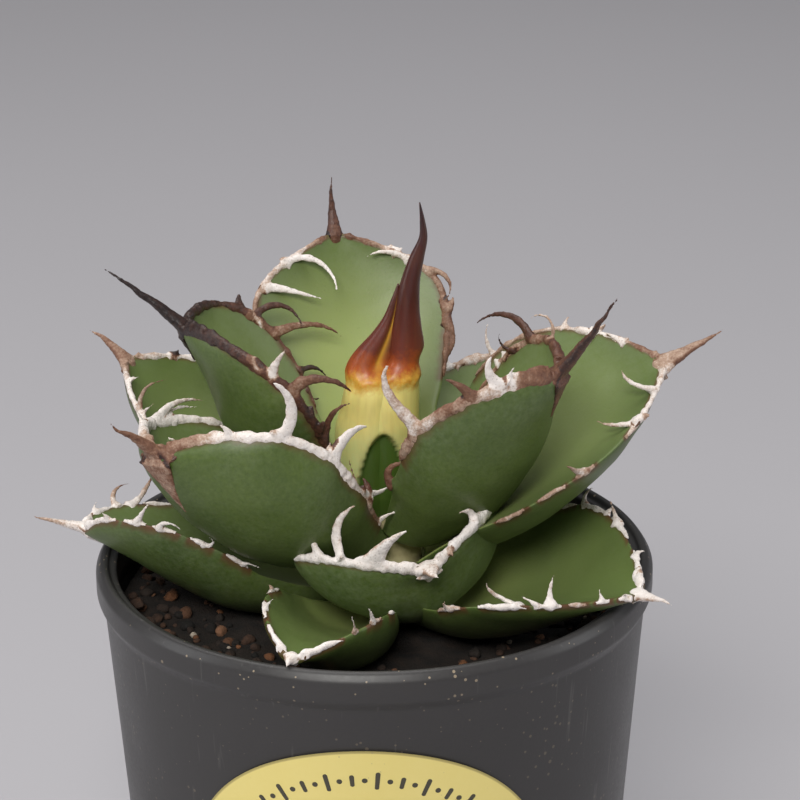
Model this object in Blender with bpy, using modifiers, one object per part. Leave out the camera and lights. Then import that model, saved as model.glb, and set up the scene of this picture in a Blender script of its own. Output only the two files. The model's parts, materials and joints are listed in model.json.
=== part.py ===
"""Potted agave: a round nursery pot with its paper label, potting mix with coarse grains on top, and a
rosette of thick toothed leaves spiralling round a pointed centre bud. Lengths here are in millimetres
and angles in degrees; the meshes are made in metres, with the origin at the middle of the pot's base."""

import math
import random
from typing import NamedTuple

import bmesh
import bpy
import numpy as np

MM = 0.001
GAP = 0.3  # left between pieces that touch, such as a leaf on the stem

# ---- driving dimensions -------------------------------------------------------------------------
POT_HEIGHT = 95.0
RIM_RADIUS = 52.5
WALL_SLOPE = 0.076  # how much the wall leans out for each millimetre of height
WALL = 1.4
FLOOR = 1.6
RIM_BULGE = 0.7  # the rim stands this proud of the wall
RIM_BAND = 7.0  # height of that proud band
LIP_WIDTH = 4.0  # from the outside of the rim to the inside of the mouth
LIP_STEP = 1.1  # the inner half of the lip lies this much lower
ROUND_STEPS = 48

DRAIN_HOLES = 6
DRAIN_RADIUS = 4.0
DRAIN_CIRCLE = 27.0

LABEL_RADIUS = 34.7
LABEL_LIFT = 0.8  # above the middle of the wall below the rim's band
LABEL_SHIFT = -1.6  # along the wall, from the middle of the front
LABEL_THICKNESS = 0.25
LABEL_RINGS = 7

SOIL_DEPTH = 9.0  # below the rim
SOIL_HOLLOW = 1.5  # the middle of the soil is this much lower than its edge

PLANT_X = 2.0  # the plant stands a little to one side of the pot's middle
STEM_RADIUS = 7.0
STEM_FOOT = 6.0  # the straight part of the stem ends this far below the soil
ROOT_RADIUS = 2.5
ROOT_LENGTH = 45.0  # of the root stock below the stem's foot
LEAF_SEAT = 0.5  # from the stem's face to where a leaf begins

MARGIN = 1.3  # thickness of the leaf's edge
TOOTH = 3.4  # how far a tooth stands out of the leaf's edge
SPINE_ROOT = 2.2  # half the least width of a blade, at its tip, where the spine begins
BLADE_SECTIONS = 16
SPINE_SECTIONS = 4
TOOTHED_FROM, TOOTHED_TO = 0.38, 0.95  # share of the blade's length that has teeth
ACROSS = (-1.0, -0.55, 0.0, 0.55, 1.0)  # points across the gutter, from one edge to the other
NEIGHBOURS = 125.0  # leaves closer than this in turn can touch
BUD_STEPS = 16
WELD = 0.01  # what a cut leaves closer than this is one point


class Leaf(NamedTuple):
    """One leaf. Its midrib runs out and up from the stem, in the vertical plane that points at turn."""

    turn: float  # direction in plan, from +X towards +Y
    root: float  # height at the stem, above the pot's rim
    root_rise: float  # slope of the midrib at the root
    tip: tuple  # end of the blade: distance from the stem's axis, and height above the rim
    tip_rise: float
    width: float  # across the widest place, measured along the curve of the gutter
    widest: float  # where that is, as a share of the length
    fold: float  # half the angle that the gutter turns through at the widest place
    thick: float
    spine: float  # length of the thorn at the tip
    spine_rise: float  # slope at the thorn's point
    roll: float = 0.0  # twist about the midrib at the tip
    taper: float = 0.5  # how pointed the blade is: 0.5 is round, 1 is straight-sided


LEAVES = {
    "leaf_01": Leaf(187, 8, 54, (36, 47.5), 45, 37, 0.66, 55, 8.0, 19, 35, 2),
    "leaf_02": Leaf(-32, 6, 60, (36.5, 44), 50, 37, 0.66, 65, 9.5, 20, 60, 7),
    "leaf_03": Leaf(105, 4, 64, (35.5, 51.5), 66, 38.5, 0.74, 32, 7.0, 12, 90, 3, 0.9),
    "leaf_04": Leaf(-150, 2, 44, (46.5, 30.5), 49, 46.5, 0.59, 70, 9.0, 12, 30, 19, 0.42),
    "leaf_05": Leaf(4, 0, 42, (52, 36.5), 30, 53, 0.50, 32, 8.0, 13, 34, 20, 0.88),
    "leaf_06": Leaf(158, -2, 46, (52.5, 31.5), 49, 38, 0.61, 42, 7.0, 10, 20, -3, 0.8),
    "leaf_07": Leaf(-74, -3, -4, (28.5, 9.5), 10, 45, 0.50, 50, 6.5, 6, 0, 13, 0.75),
    "leaf_08": Leaf(48, -5, 42, (51, 23), 35, 40, 0.62, 42, 7.0, 7, 20),
    "leaf_09": Leaf(183, -7, -4, (RIM_RADIUS + 3.5, 7.0), 16, 35.5, 0.60, 48, 5.5, 10, 15, 20, 0.46),
    "leaf_10": Leaf(-31, -9, 5, (RIM_RADIUS + 1.0, 3.9), 2, 44, 0.50, 47, 5.0, 7, -12, 12, 0.85),
    "leaf_11": Leaf(118, -9, 8, (RIM_RADIUS - 1.5, 4.0), 18, 34, 0.58, 42, 7.0, 8, 20),
    "leaf_12": Leaf(-109, -10, 4, (RIM_RADIUS - 2.5, 1.5), 6, 26, 0.60, 66, 6.0, 3, -20, -6, 0.75),
}

# The bud: stations of height above the rim, then x and y from the plant's axis, half width and half depth.
BUD_SPEAR = (
    (9.0, 0.0, 0.0, 6.6, 6.6),
    (23.0, 0.2, 0.0, 6.6, 6.6),
    (32.0, 0.8, 0.0, 5.8, 5.8),
    (37.0, 2.6, 0.0, 4.2, 4.2),
    (41.0, 4.2, 0.0, 2.8, 2.8),
    (49.0, 4.5, 0.0, 2.1, 2.3),
    (57.0, 5.7, 0.0, 1.4, 1.6),
    (62.5, 7.5, 0.0, 0.9, 1.0),
    (65.5, 7.6, 0.0, 0.55, 0.6),
    (69.3, 7.1, 0.0, 0.15, 0.15),
)
BUD_LEAF = (
    (9.0, -3.2, -1.0, 6.0, 6.0),
    (23.0, -3.0, -1.0, 6.2, 6.0),
    (32.0, -2.4, -0.8, 5.0, 5.0),
    (36.0, -1.8, -0.6, 3.6, 3.4),
    (41.0, -0.2, -0.5, 2.6, 2.2),
    (47.0, 1.6, -0.3, 1.4, 1.3),
    (53.7, 2.9, 0.0, 0.15, 0.15),
)

# Loose grains: bearing round the pot, distance in from the mouth, size.
GRAINS = (
    (-160, 3.5, 4.6),
    (-150, 4.5, 5.4),
    (-141, 3.5, 3.8),
    (-133, 4.5, 5.0),
    (-124, 3.3, 3.6),
    (-58, 3.5, 4.0),
    (-48, 3.1, 3.4),
    (-172, 3.5, 3.6),
    (148, 3.5, 4.2),
    (135, 3.9, 3.4),
    (88, 3.5, 4.8),
    (76, 3.9, 3.6),
    (60, 3.5, 4.2),
    (20, 3.5, 3.8),
)


def clear_scene():
    for obj in list(bpy.data.objects):
        bpy.data.objects.remove(obj, do_unlink=True)


def material(name, colour, roughness, metallic=0.0):
    made = bpy.data.materials.new(name)
    made.use_nodes = True
    shader = made.node_tree.nodes["Principled BSDF"]
    shader.inputs["Base Color"].default_value = (*colour, 1.0)
    shader.inputs["Roughness"].default_value = roughness
    shader.inputs["Metallic"].default_value = metallic
    return made


def direction(turn, rise):
    a, b = math.radians(turn), math.radians(rise)
    return np.array([math.cos(a) * math.cos(b), math.sin(a) * math.cos(b), math.sin(b)])


def midrib(leaf, share):
    """Point and direction of the midrib at a share of the blade's length."""
    start = np.array([STEM_RADIUS + LEAF_SEAT, POT_HEIGHT + leaf.root])
    end = np.array([leaf.tip[0], POT_HEIGHT + leaf.tip[1]])
    reach = 0.4 * np.linalg.norm(end - start)
    lean0, lean1 = math.radians(leaf.root_rise), math.radians(leaf.tip_rise)
    one = start + reach * np.array([math.cos(lean0), math.sin(lean0)])
    two = end - reach * np.array([math.cos(lean1), math.sin(lean1)])

    def at(s):
        r, z = (
            (1 - s) ** 3 * start
            + 3 * s * (1 - s) ** 2 * one
            + 3 * s * s * (1 - s) * two
            + s**3 * end
        )
        a = math.radians(leaf.turn)
        return np.array([PLANT_X + r * math.cos(a), r * math.sin(a), z])

    step = 1e-3
    ahead = at(share + step) - at(share - step)
    return at(share), ahead / np.linalg.norm(ahead)


def frame_of(leaf, ahead, share):
    """Sideways and upward directions of a section, square to the midrib."""
    a = math.radians(leaf.turn)
    side = np.array([-math.sin(a), math.cos(a), 0.0])
    side -= ahead * (side @ ahead)
    side /= np.linalg.norm(side)
    up = np.cross(ahead, side)
    b = math.radians(leaf.roll * share)
    return math.cos(b) * side + math.sin(b) * up, math.cos(b) * up - math.sin(b) * side


def outline(leaf, share):
    """Half the width at a share of the length: narrow at the stem, full past the middle, blunt at the tip."""
    if share < leaf.widest:
        x = share / leaf.widest
        full = 0.46 + 0.54 * math.sin(x * math.pi / 2) ** 1.3
    else:
        x = (share - leaf.widest) / (1 - leaf.widest)
        full = (1 - x**2.3) ** leaf.taper
    return max(0.5 * leaf.width * full, SPINE_ROOT)


def depth_of(leaf, share):
    """Thickness from gutter to keel: thin at the stem and the tip, fullest before the middle."""
    swell = math.sin(math.pi * share**0.8)
    return leaf.thick * (0.35 + 0.65 * swell) * (1 - 0.5 * share**6) + 0.6


def section(leaf, share, teeth=0.0, spare=0.0):
    """The closed ring of points round the blade: along the gutter, round the edge and back below."""
    middle, ahead = midrib(leaf, share)
    side, up = frame_of(leaf, ahead, share)
    clasp = max(0.0, 1 - share / 0.35)
    turn = math.radians(leaf.fold * (0.75 + 0.25 * math.sin(math.pi * min(share, 0.9))) + 15 * clasp)
    radius = outline(leaf, share) / turn
    depth = depth_of(leaf, share)
    ring = []
    for below in (False, True):
        for u in ACROSS if not below else ACROSS[::-1]:
            a = u * turn
            point = middle + side * radius * math.sin(a) + up * (radius - radius * math.cos(a))
            if abs(u) == 1.0:
                outward = side * math.cos(a) + up * math.sin(a)
                point = point + outward * u * (teeth + spare)
            inward = up * math.cos(a) - side * math.sin(a)
            if below:
                point = point - inward * (MARGIN + (depth - MARGIN) * (1 - abs(u) ** 1.7) + spare)
            else:
                point = point + inward * spare
            ring.append(point)
    return ring


def spine_rings(leaf, spare=0.0):
    """Rings of the thorn beyond the blade, which bends from the blade's slope to its own."""
    _, ahead = midrib(leaf, 1.0)
    last = section(leaf, 1.0)
    centre = sum(last) / len(last)
    bend = direction(leaf.turn, leaf.spine_rise)
    rings = []
    for i in range(1, SPINE_SECTIONS + 1):
        s = i / SPINE_SECTIONS
        path = ahead * leaf.spine * (s - 0.5 * s * s) + bend * leaf.spine * 0.5 * s * s
        size = 0.85 * (1 - s) ** 1.3 + 0.05
        grown = [(p - centre) * (size + spare / np.linalg.norm(p - centre)) for p in last]
        rings.append([centre + path + p for p in grown])
    return rings


def loft(name, rings):
    """A closed solid through rings that all have the same number of points."""
    mesh = bpy.data.meshes.new(name)
    around = len(rings[0])
    points = [tuple(p * MM) for ring in rings for p in ring]
    faces = []
    for low in range(0, len(points) - around, around):
        high = low + around
        for j in range(around):
            k = (j + 1) % around
            faces.append((low + j, low + k, high + k, high + j))
    faces.append(tuple(range(around))[::-1])
    faces.append(tuple(range(len(points) - around, len(points))))
    mesh.from_pydata(points, [], faces)
    made = bmesh.new()
    made.from_mesh(mesh)
    bmesh.ops.recalc_face_normals(made, faces=made.faces)
    made.to_mesh(mesh)
    made.free()
    mesh.shade_smooth()
    mesh.set_sharp_from_angle(angle=math.radians(40))
    return mesh


def add(name, mesh, collection, mat=None):
    obj = bpy.data.objects.new(name, mesh)
    if mat:
        mesh.materials.append(mat)
    collection.objects.link(obj)
    return obj


def as_cutter(obj):
    obj.hide_render = True
    obj.display_type = "WIRE"
    return obj


def cut(obj, cutters):
    """Takes every cutter away from the object."""
    for cutter in cutters:
        boolean = obj.modifiers.new(cutter.name, "BOOLEAN")
        boolean.operation = "DIFFERENCE"
        boolean.solver = "EXACT"
        boolean.use_self = True
        boolean.object = cutter


def settle(obj):
    """Applies the cuts. What they leave loose at the piece's edge falls away with them."""
    bpy.context.view_layer.update()
    seen = obj.evaluated_get(bpy.context.evaluated_depsgraph_get())
    mesh = bpy.data.meshes.new_from_object(seen)
    made = bmesh.new()
    made.from_mesh(mesh)
    bmesh.ops.remove_doubles(made, verts=made.verts, dist=WELD * MM)
    bmesh.ops.dissolve_degenerate(made, edges=made.edges, dist=WELD * MM)
    islands = []
    left = set(made.verts)
    while left:
        island, edge = set(), [left.pop()]
        while edge:
            vert = edge.pop()
            island.add(vert)
            near = {e.other_vert(vert) for e in vert.link_edges} & left
            left -= near
            edge.extend(near)
        islands.append(island)
    islands.sort(key=len)
    for island in islands[:-1]:
        bmesh.ops.delete(made, geom=list(island), context="VERTS")
    made.to_mesh(mesh)
    made.free()
    obj.modifiers.clear()
    old, obj.data = obj.data, mesh
    bpy.data.meshes.remove(old)


def leaf_rings(leaf):
    """Rings of a whole leaf, every other one of which carries a pair of marginal teeth."""
    rings = []
    for i in range(BLADE_SECTIONS + 1):
        share = i / BLADE_SECTIONS
        toothed = TOOTHED_FROM < share < TOOTHED_TO and i % 2 == 1
        rings.append(section(leaf, share, TOOTH if toothed else 0.0))
    return rings + spine_rings(leaf)


def leaf_room(leaf):
    """Rings of the room that a leaf takes up: the leaf with its teeth and the gap round it."""
    rings = []
    for i in range(BLADE_SECTIONS + 1):
        share = i / BLADE_SECTIONS
        toothed = TOOTHED_FROM - 1.0 / BLADE_SECTIONS < share < TOOTHED_TO
        rings.append(section(leaf, share, TOOTH if toothed else 0.0, GAP))
    _, root_ahead = midrib(leaf, 0.0)
    _, tip_ahead = midrib(leaf, 1.0)
    rings[0] = [p - root_ahead * GAP for p in rings[0]]
    tip = spine_rings(leaf, GAP)
    tip[-1] = [p + tip_ahead * GAP for p in tip[-1]]
    return rings + tip


def angle_between(one, two):
    return abs((one - two + 180) % 360 - 180)


def rim_room(rooms):
    """The room that the pot's rim takes up, which no leaf may grow into."""
    inside, outside = RIM_RADIUS - LIP_WIDTH - GAP, RIM_RADIUS + GAP
    top, low = POT_HEIGHT + GAP, POT_HEIGHT - 2 * RIM_BAND
    profile = [(inside, top), (outside, top), (outside, low), (inside, low)]
    return as_cutter(turned("rim_room", profile, rooms, ring=True))


def leaves(collection, rooms, mats):
    """The rosette. Each older leaf is pressed out of the way by the bud, the pot and the younger leaves."""
    heart = bud(collection, rooms, mats) + [rim_room(rooms)]
    younger = []
    for name, leaf in LEAVES.items():
        obj = add(name, loft(name, leaf_rings(leaf)), collection, mats["leaf"])
        near = [room for turn, room in younger if angle_between(turn, leaf.turn) < NEIGHBOURS]
        cut(obj, heart + near)
        settle(obj)
        room = as_cutter(add(name + "_room", loft(name + "_room", leaf_room(leaf)), rooms))
        younger.append((leaf.turn, room))
    return [room for turn, room in younger]


def oval_rings(stations, spare=0.0):
    """Level rings from stations of (height, x, y, half width, half depth)."""
    rings = []
    for k, (z, x, y, wide, deep) in enumerate(stations):
        end = POT_HEIGHT + {0: -spare, len(stations) - 1: spare}.get(k, 0.0)
        ring = []
        for i in range(BUD_STEPS):
            a = 2 * math.pi * i / BUD_STEPS
            across = PLANT_X + x + (wide + spare) * math.cos(a)
            along = y + (deep + spare) * math.sin(a)
            ring.append(np.array([across, along, z + end]))
        rings.append(ring)
    return rings


def bud(collection, rooms, mats):
    """The two youngest leaves, still rolled: a spear, and a second blade that hugs its left side."""
    spear = add("bud_spear", loft("bud_spear", oval_rings(BUD_SPEAR)), collection, mats["bud"])
    spear_room = as_cutter(add("spear_room", loft("spear_room", oval_rings(BUD_SPEAR, GAP)), rooms))
    blade = add("bud_leaf", loft("bud_leaf", oval_rings(BUD_LEAF)), collection, mats["bud"])
    cut(blade, [spear_room])
    settle(blade)
    blade_room = as_cutter(add("bud_leaf_room", loft("bud_leaf_room", oval_rings(BUD_LEAF, GAP)), rooms))
    stem = turned("stem", stem_profile(0.0), collection, mats["stem"])
    stem_room = as_cutter(turned("stem_room", stem_profile(GAP), rooms))
    stem.location.x = stem_room.location.x = PLANT_X * MM
    return [spear_room, blade_room, stem_room]


def stem_profile(spare):
    """The short stem that the leaves grow from, and its root stock tapering down in the soil."""
    top = POT_HEIGHT + BUD_SPEAR[0][0] - GAP
    foot = soil_top() - STEM_FOOT
    low = foot - ROOT_LENGTH
    return [
        (0, top + spare),
        (STEM_RADIUS + spare, top + spare),
        (STEM_RADIUS + spare, foot),
        (0.75 * STEM_RADIUS + spare, foot - 0.3 * ROOT_LENGTH),
        (ROOT_RADIUS + spare, low - spare),
        (0, low - spare),
    ]


def turned(name, profile, collection, mat=None, ring=False):
    """A turned solid from a profile of (radius, height) that runs down its outer side, or round a ring."""
    mesh = bpy.data.meshes.new(name)
    points = [(r * MM, 0.0, z * MM) for r, z in profile]
    edges = [(i, i + 1) for i in range(len(points) - 1)]
    if ring:
        edges.append((len(points) - 1, 0))
    mesh.from_pydata(points, edges, [])
    obj = add(name, mesh, collection, mat)
    screw = obj.modifiers.new("Screw", "SCREW")
    screw.steps = screw.render_steps = ROUND_STEPS
    screw.use_merge_vertices = True
    screw.merge_threshold = 0.0001
    screw.use_smooth_shade = True
    return obj


def wall_radius(height):
    """Outside of the pot's wall."""
    return RIM_RADIUS - RIM_BULGE - WALL_SLOPE * (POT_HEIGHT - height)


def pot(collection, rooms, mats):
    """A thin plastic pot: straight tapered wall, a stouter rolled rim with a lip inside it, drain holes."""
    mouth = RIM_RADIUS - LIP_WIDTH
    band = POT_HEIGHT - RIM_BAND
    profile = [
        (0, FLOOR),
        (wall_radius(FLOOR) - WALL, FLOOR),
        (wall_radius(band - 3) - WALL, band - 3),
        (mouth, band + 1),
        (mouth, POT_HEIGHT - LIP_STEP - 0.4),
        (mouth + 0.4, POT_HEIGHT - LIP_STEP),
        (mouth + 1.4, POT_HEIGHT - LIP_STEP),
        (mouth + 1.8, POT_HEIGHT - 0.2),
        (mouth + 2.4, POT_HEIGHT),
        (RIM_RADIUS - 0.9, POT_HEIGHT - 0.4),
        (RIM_RADIUS, POT_HEIGHT - 1.8),
        (RIM_RADIUS, band + 2),
        (wall_radius(band - 1), band - 1),
        (wall_radius(1.2), 1.2),
        (wall_radius(0) - 1.2, 0),
        (0, 0),
    ]
    obj = turned("pot", profile, collection, mats["pot"])
    holes = []
    for i in range(DRAIN_HOLES):
        a = 2 * math.pi * (i + 0.5) / DRAIN_HOLES
        bpy.ops.mesh.primitive_cylinder_add(
            vertices=16,
            radius=DRAIN_RADIUS * MM,
            depth=4 * FLOOR * MM,
            location=(DRAIN_CIRCLE * MM * math.cos(a), DRAIN_CIRCLE * MM * math.sin(a), 0.5 * FLOOR * MM),
        )
        hole = bpy.context.object
        hole.name = f"drain_hole_{i + 1}"
        bpy.context.collection.objects.unlink(hole)
        rooms.objects.link(hole)
        holes.append(as_cutter(hole))
    cut(obj, holes)
    return obj


def label_height():
    """Height of the label's middle."""
    return 0.5 * (POT_HEIGHT - RIM_BAND) + LABEL_LIFT


def label(collection, mats):
    """A round paper label bent round the wall."""
    slope = math.atan(WALL_SLOPE)
    mesh = bpy.data.meshes.new("label")
    points = [(0.0, 0.0)]
    for ring in range(1, LABEL_RINGS + 1):
        for i in range(ROUND_STEPS):
            a = 2 * math.pi * i / ROUND_STEPS
            reach = LABEL_RADIUS * ring / LABEL_RINGS
            points.append((LABEL_SHIFT + reach * math.cos(a), reach * math.sin(a)))
    points[0] = (LABEL_SHIFT, 0.0)
    placed = []
    for along, up in points:
        z = label_height() + up * math.cos(slope)
        radius = wall_radius(z) + GAP
        a = along / wall_radius(label_height())
        placed.append((radius * math.sin(a) * MM, -radius * math.cos(a) * MM, z * MM))
    faces = [(0, 1 + i, 1 + (i + 1) % ROUND_STEPS) for i in range(ROUND_STEPS)]
    for ring in range(LABEL_RINGS - 1):
        low, high = 1 + ring * ROUND_STEPS, 1 + (ring + 1) * ROUND_STEPS
        for i in range(ROUND_STEPS):
            k = (i + 1) % ROUND_STEPS
            faces.append((low + i, high + i, high + k, low + k))
    mesh.from_pydata(placed, [], faces)
    mesh.shade_smooth()
    obj = add("label", mesh, collection, mats["label"])
    sheet = obj.modifiers.new("Sheet", "SOLIDIFY")
    sheet.thickness = LABEL_THICKNESS * MM
    sheet.offset = 1.0
    return obj


def soil_top():
    return POT_HEIGHT - SOIL_DEPTH


def soil(collection, rooms, leaf_rooms, mats):
    """The soil that fills the pot, hollowed for the stem, its root stock and the lowest leaves."""
    band = POT_HEIGHT - RIM_BAND
    inside = WALL + GAP
    profile = [
        (0, soil_top() - SOIL_HOLLOW),
        (0.6 * RIM_RADIUS, soil_top() - SOIL_HOLLOW),
        (RIM_RADIUS - LIP_WIDTH - GAP - 1, soil_top()),
        (wall_radius(band - 4) - inside, band - 4),
        (wall_radius(FLOOR) - inside, FLOOR + GAP),
        (0, FLOOR + GAP),
    ]
    obj = turned("soil", profile, collection, mats["soil"])
    cut(obj, [rooms.objects["stem_room"]] + leaf_rooms)
    settle(obj)
    return obj


def grains(collection, leaf_rooms, mats):
    """Coarse lumps of the top dressing that lie loose on the soil by the rim, and under the leaves."""
    mouth = RIM_RADIUS - LIP_WIDTH
    for i, (turn, inset, size) in enumerate(GRAINS):
        reach = mouth - inset
        chance = random.Random(i)
        bpy.ops.mesh.primitive_ico_sphere_add(subdivisions=1, radius=1.0)
        obj = bpy.context.object
        obj.name = obj.data.name = f"grain_{i + 1:02d}"
        bpy.context.collection.objects.unlink(obj)
        collection.objects.link(obj)
        obj.data.materials.append(mats["grain"])
        half = 0.5 * size
        for vert in obj.data.vertices:
            uneven = chance.uniform(0.78, 1.0)
            vert.co = vert.co * half * uneven * MM
            vert.co.z *= 0.7
        obj.rotation_euler.z = math.radians(chance.uniform(0, 360))
        lowest = min(v.co.z for v in obj.data.vertices)
        a = math.radians(turn)
        obj.location = (reach * MM * math.cos(a), reach * MM * math.sin(a), (soil_top() + GAP) * MM - lowest)
        cut(obj, leaf_rooms)


def materials():
    return {
        "leaf": material("leaf_green", (0.095, 0.13, 0.035), 0.5),
        "bud": material("bud_red_brown", (0.13, 0.03, 0.02), 0.4),
        "stem": material("stem_pale", (0.55, 0.5, 0.3), 0.6),
        "pot": material("pot_black_plastic", (0.045, 0.042, 0.043), 0.42),
        "label": material("label_yellow_paper", (0.78, 0.66, 0.2), 0.5),
        "soil": material("soil_brown", (0.09, 0.055, 0.035), 0.95),
        "grain": material("grain_clay", (0.35, 0.19, 0.1), 0.95),
    }


def main():
    clear_scene()
    plant = bpy.data.collections.new("potted_agave")
    rooms = bpy.data.collections.new("cutters")
    bpy.context.scene.collection.children.link(plant)
    bpy.context.scene.collection.children.link(rooms)
    mats = materials()
    pot(plant, rooms, mats)
    label(plant, mats)
    leaf_rooms = leaves(plant, rooms, mats)
    soil(plant, rooms, leaf_rooms, mats)
    grains(plant, leaf_rooms, mats)


main()
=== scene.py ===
"""Potted agave: a black nursery pot with a round label, potting mix, and a rosette of thick green leaves
with horny, toothed margins and end spines. Lengths are in millimetres and angles in degrees; meshes and
places go into the scene in metres."""

import json
import math
import random
from typing import NamedTuple

import bmesh
import bpy
import numpy as np
from mathutils import Matrix, Vector, kdtree, noise

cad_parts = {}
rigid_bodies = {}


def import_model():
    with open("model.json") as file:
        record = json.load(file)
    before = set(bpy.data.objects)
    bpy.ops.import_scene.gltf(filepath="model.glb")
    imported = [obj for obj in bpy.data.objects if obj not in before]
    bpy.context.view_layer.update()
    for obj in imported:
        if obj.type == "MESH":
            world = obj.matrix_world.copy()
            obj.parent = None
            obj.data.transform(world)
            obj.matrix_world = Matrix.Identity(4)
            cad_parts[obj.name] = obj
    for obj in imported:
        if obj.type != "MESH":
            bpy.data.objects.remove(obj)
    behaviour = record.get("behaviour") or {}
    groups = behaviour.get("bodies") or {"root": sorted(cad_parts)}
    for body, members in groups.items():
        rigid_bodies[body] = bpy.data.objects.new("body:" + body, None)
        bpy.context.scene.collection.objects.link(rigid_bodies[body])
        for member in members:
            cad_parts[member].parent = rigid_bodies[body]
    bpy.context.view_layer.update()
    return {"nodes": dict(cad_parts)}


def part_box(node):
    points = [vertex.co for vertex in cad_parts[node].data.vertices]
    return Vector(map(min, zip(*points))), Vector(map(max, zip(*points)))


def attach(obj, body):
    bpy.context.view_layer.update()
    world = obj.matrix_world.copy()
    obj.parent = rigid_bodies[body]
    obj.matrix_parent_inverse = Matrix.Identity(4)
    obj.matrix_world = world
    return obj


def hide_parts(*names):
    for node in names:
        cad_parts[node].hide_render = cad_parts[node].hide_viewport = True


for leftover in list(bpy.data.objects):
    bpy.data.objects.remove(leftover, do_unlink=True)
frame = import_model()

# ---- Pot ----------------------------------------------------------------------------------------
# A round nursery pot, injection-moulded in black plastic: a thin tapered wall, a stouter rolled rim
# with a lip inside it and six drain holes. Handled and dusty: fine upright scratches, potting dust
# on the lip.
MM = 0.001


def size_of(node):
    """Lowest and highest corner of a CAD node, in millimetres."""
    low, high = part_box(node)
    return np.array(low) / MM, np.array(high) / MM


POT_HEIGHT = size_of("pot")[1][2]
RIM_RADIUS = size_of("pot")[1][0]
WALL_SLOPE = 0.076
WALL = 1.4
FLOOR = 1.6
RIM_BULGE = 0.7
RIM_BAND = 7.0
LIP_WIDTH = 4.0
LIP_STEP = 1.1
DRAIN_HOLES = 6
DRAIN_RADIUS = 4.0
DRAIN_CIRCLE = 27.0
POT_STEPS = 288
WALL_WAVE = 0.16  # the thin wall stands out and in by this much
WAVE_LENGTH = 17.0
WAVE_UPRIGHT = 0.45  # a millimetre up the wall counts for this much, so the waves stand tall
POT_BLACK = (0.030, 0.0285, 0.029)
POT_GREY = (0.048, 0.045, 0.045)
DUST_BEIGE = (0.30, 0.24, 0.17)


def wall_radius(height):
    return RIM_RADIUS - RIM_BULGE - WALL_SLOPE * (POT_HEIGHT - height)


def add_node(tree, kind, sockets=None, **settings):
    """One shader node: sockets gives each input its value or the output it is linked from."""
    made = tree.nodes.new(kind)
    for name, value in settings.items():
        setattr(made, name, value)
    for key, value in (sockets or {}).items():
        if isinstance(value, bpy.types.NodeSocket):
            tree.links.new(value, made.inputs[key])
        else:
            made.inputs[key].default_value = value
    return made


def object_place(tree):
    return add_node(tree, "ShaderNodeTexCoord").outputs["Object"]


def noise_value(tree, scale, detail=2.0, rough=0.5, place=None):
    sockets = {"Scale": scale, "Detail": detail, "Roughness": rough}
    sockets["Vector"] = place or object_place(tree)
    return add_node(tree, "ShaderNodeTexNoise", sockets).outputs["Fac"]


def spread(tree, value, low, high, start=0.0, end=1.0):
    """The value mapped from low..high to start..end, without going past either."""
    sockets = {0: value, 1: low, 2: high, 3: start, 4: end}
    return add_node(tree, "ShaderNodeMapRange", sockets, clamp=True).outputs[0]


def math_of(tree, operation, one, two=0.0):
    return add_node(tree, "ShaderNodeMath", {0: one, 1: two}, operation=operation).outputs[0]


def blended(tree, share, one, two):
    """Colour one where share is 0, and colour two where it is 1."""
    one = (*one, 1.0) if isinstance(one, tuple) else one
    two = (*two, 1.0) if isinstance(two, tuple) else two
    return add_node(tree, "ShaderNodeMix", {0: share, 6: one, 7: two}, data_type="RGBA").outputs[2]


def stops(tree, value, *colours):
    """A ramp through (place, colour) stops."""
    ramp = add_node(tree, "ShaderNodeValToRGB", {0: value})
    elements = ramp.color_ramp.elements
    while len(elements) < len(colours):
        elements.new(0.5)
    for element, (place, colour) in zip(elements, colours):
        element.position = place
        element.color = (*colour, 1.0)
    return ramp.outputs[0]


def attribute(tree, name):
    return add_node(tree, "ShaderNodeAttribute", attribute_name=name).outputs["Fac"]


def bump(tree, height, strength, distance):
    """A normal from a height, with the relief's depth in millimetres."""
    sockets = {"Strength": strength, "Distance": distance * MM, "Height": height}
    return add_node(tree, "ShaderNodeBump", sockets).outputs["Normal"]


def new_material(name, **values):
    """A material with its shader. values go straight on the shader's own sockets."""
    made = bpy.data.materials.new(name)
    made.use_nodes = True
    shader = made.node_tree.nodes["Principled BSDF"]
    for key, value in values.items():
        shader.inputs[key.replace("_", " ")].default_value = value
    return made, made.node_tree, shader.inputs


def effect_group(name, inputs, outputs):
    """An empty node group: its tree, and its inputs by name. outputs are linked with finish_group."""
    tree = bpy.data.node_groups.new(name, "ShaderNodeTree")
    for label, value in inputs.items():
        socket = tree.interface.new_socket(label, in_out="INPUT", socket_type="NodeSocketFloat")
        socket.default_value = value
    for label in outputs:
        tree.interface.new_socket(label, in_out="OUTPUT", socket_type="NodeSocketFloat")
    return tree, tree.nodes.new("NodeGroupInput").outputs


def finish_group(tree, outputs):
    end = tree.nodes.new("NodeGroupOutput")
    for label, socket in outputs.items():
        tree.links.new(socket, end.inputs[label])


def use_group(tree, group, **values):
    made = tree.nodes.new("ShaderNodeGroup")
    made.node_tree = group
    for label, value in values.items():
        made.inputs[label].default_value = value
    return made.outputs


# Grain: a fine unevenness on top of a broad one. Scales are in turns for each metre.
grain, given = effect_group("surface_grain", {"Fine": 1500.0, "Broad": 120.0}, ("Tone", "Height"))
fine = noise_value(grain, given["Fine"], 3.0, 0.6)
broad = noise_value(grain, given["Broad"], 2.0)
tone = math_of(grain, "ADD", math_of(grain, "MULTIPLY", fine, 0.45), math_of(grain, "MULTIPLY", broad, 0.55))
finish_group(grain, {"Tone": tone, "Height": fine})

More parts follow.
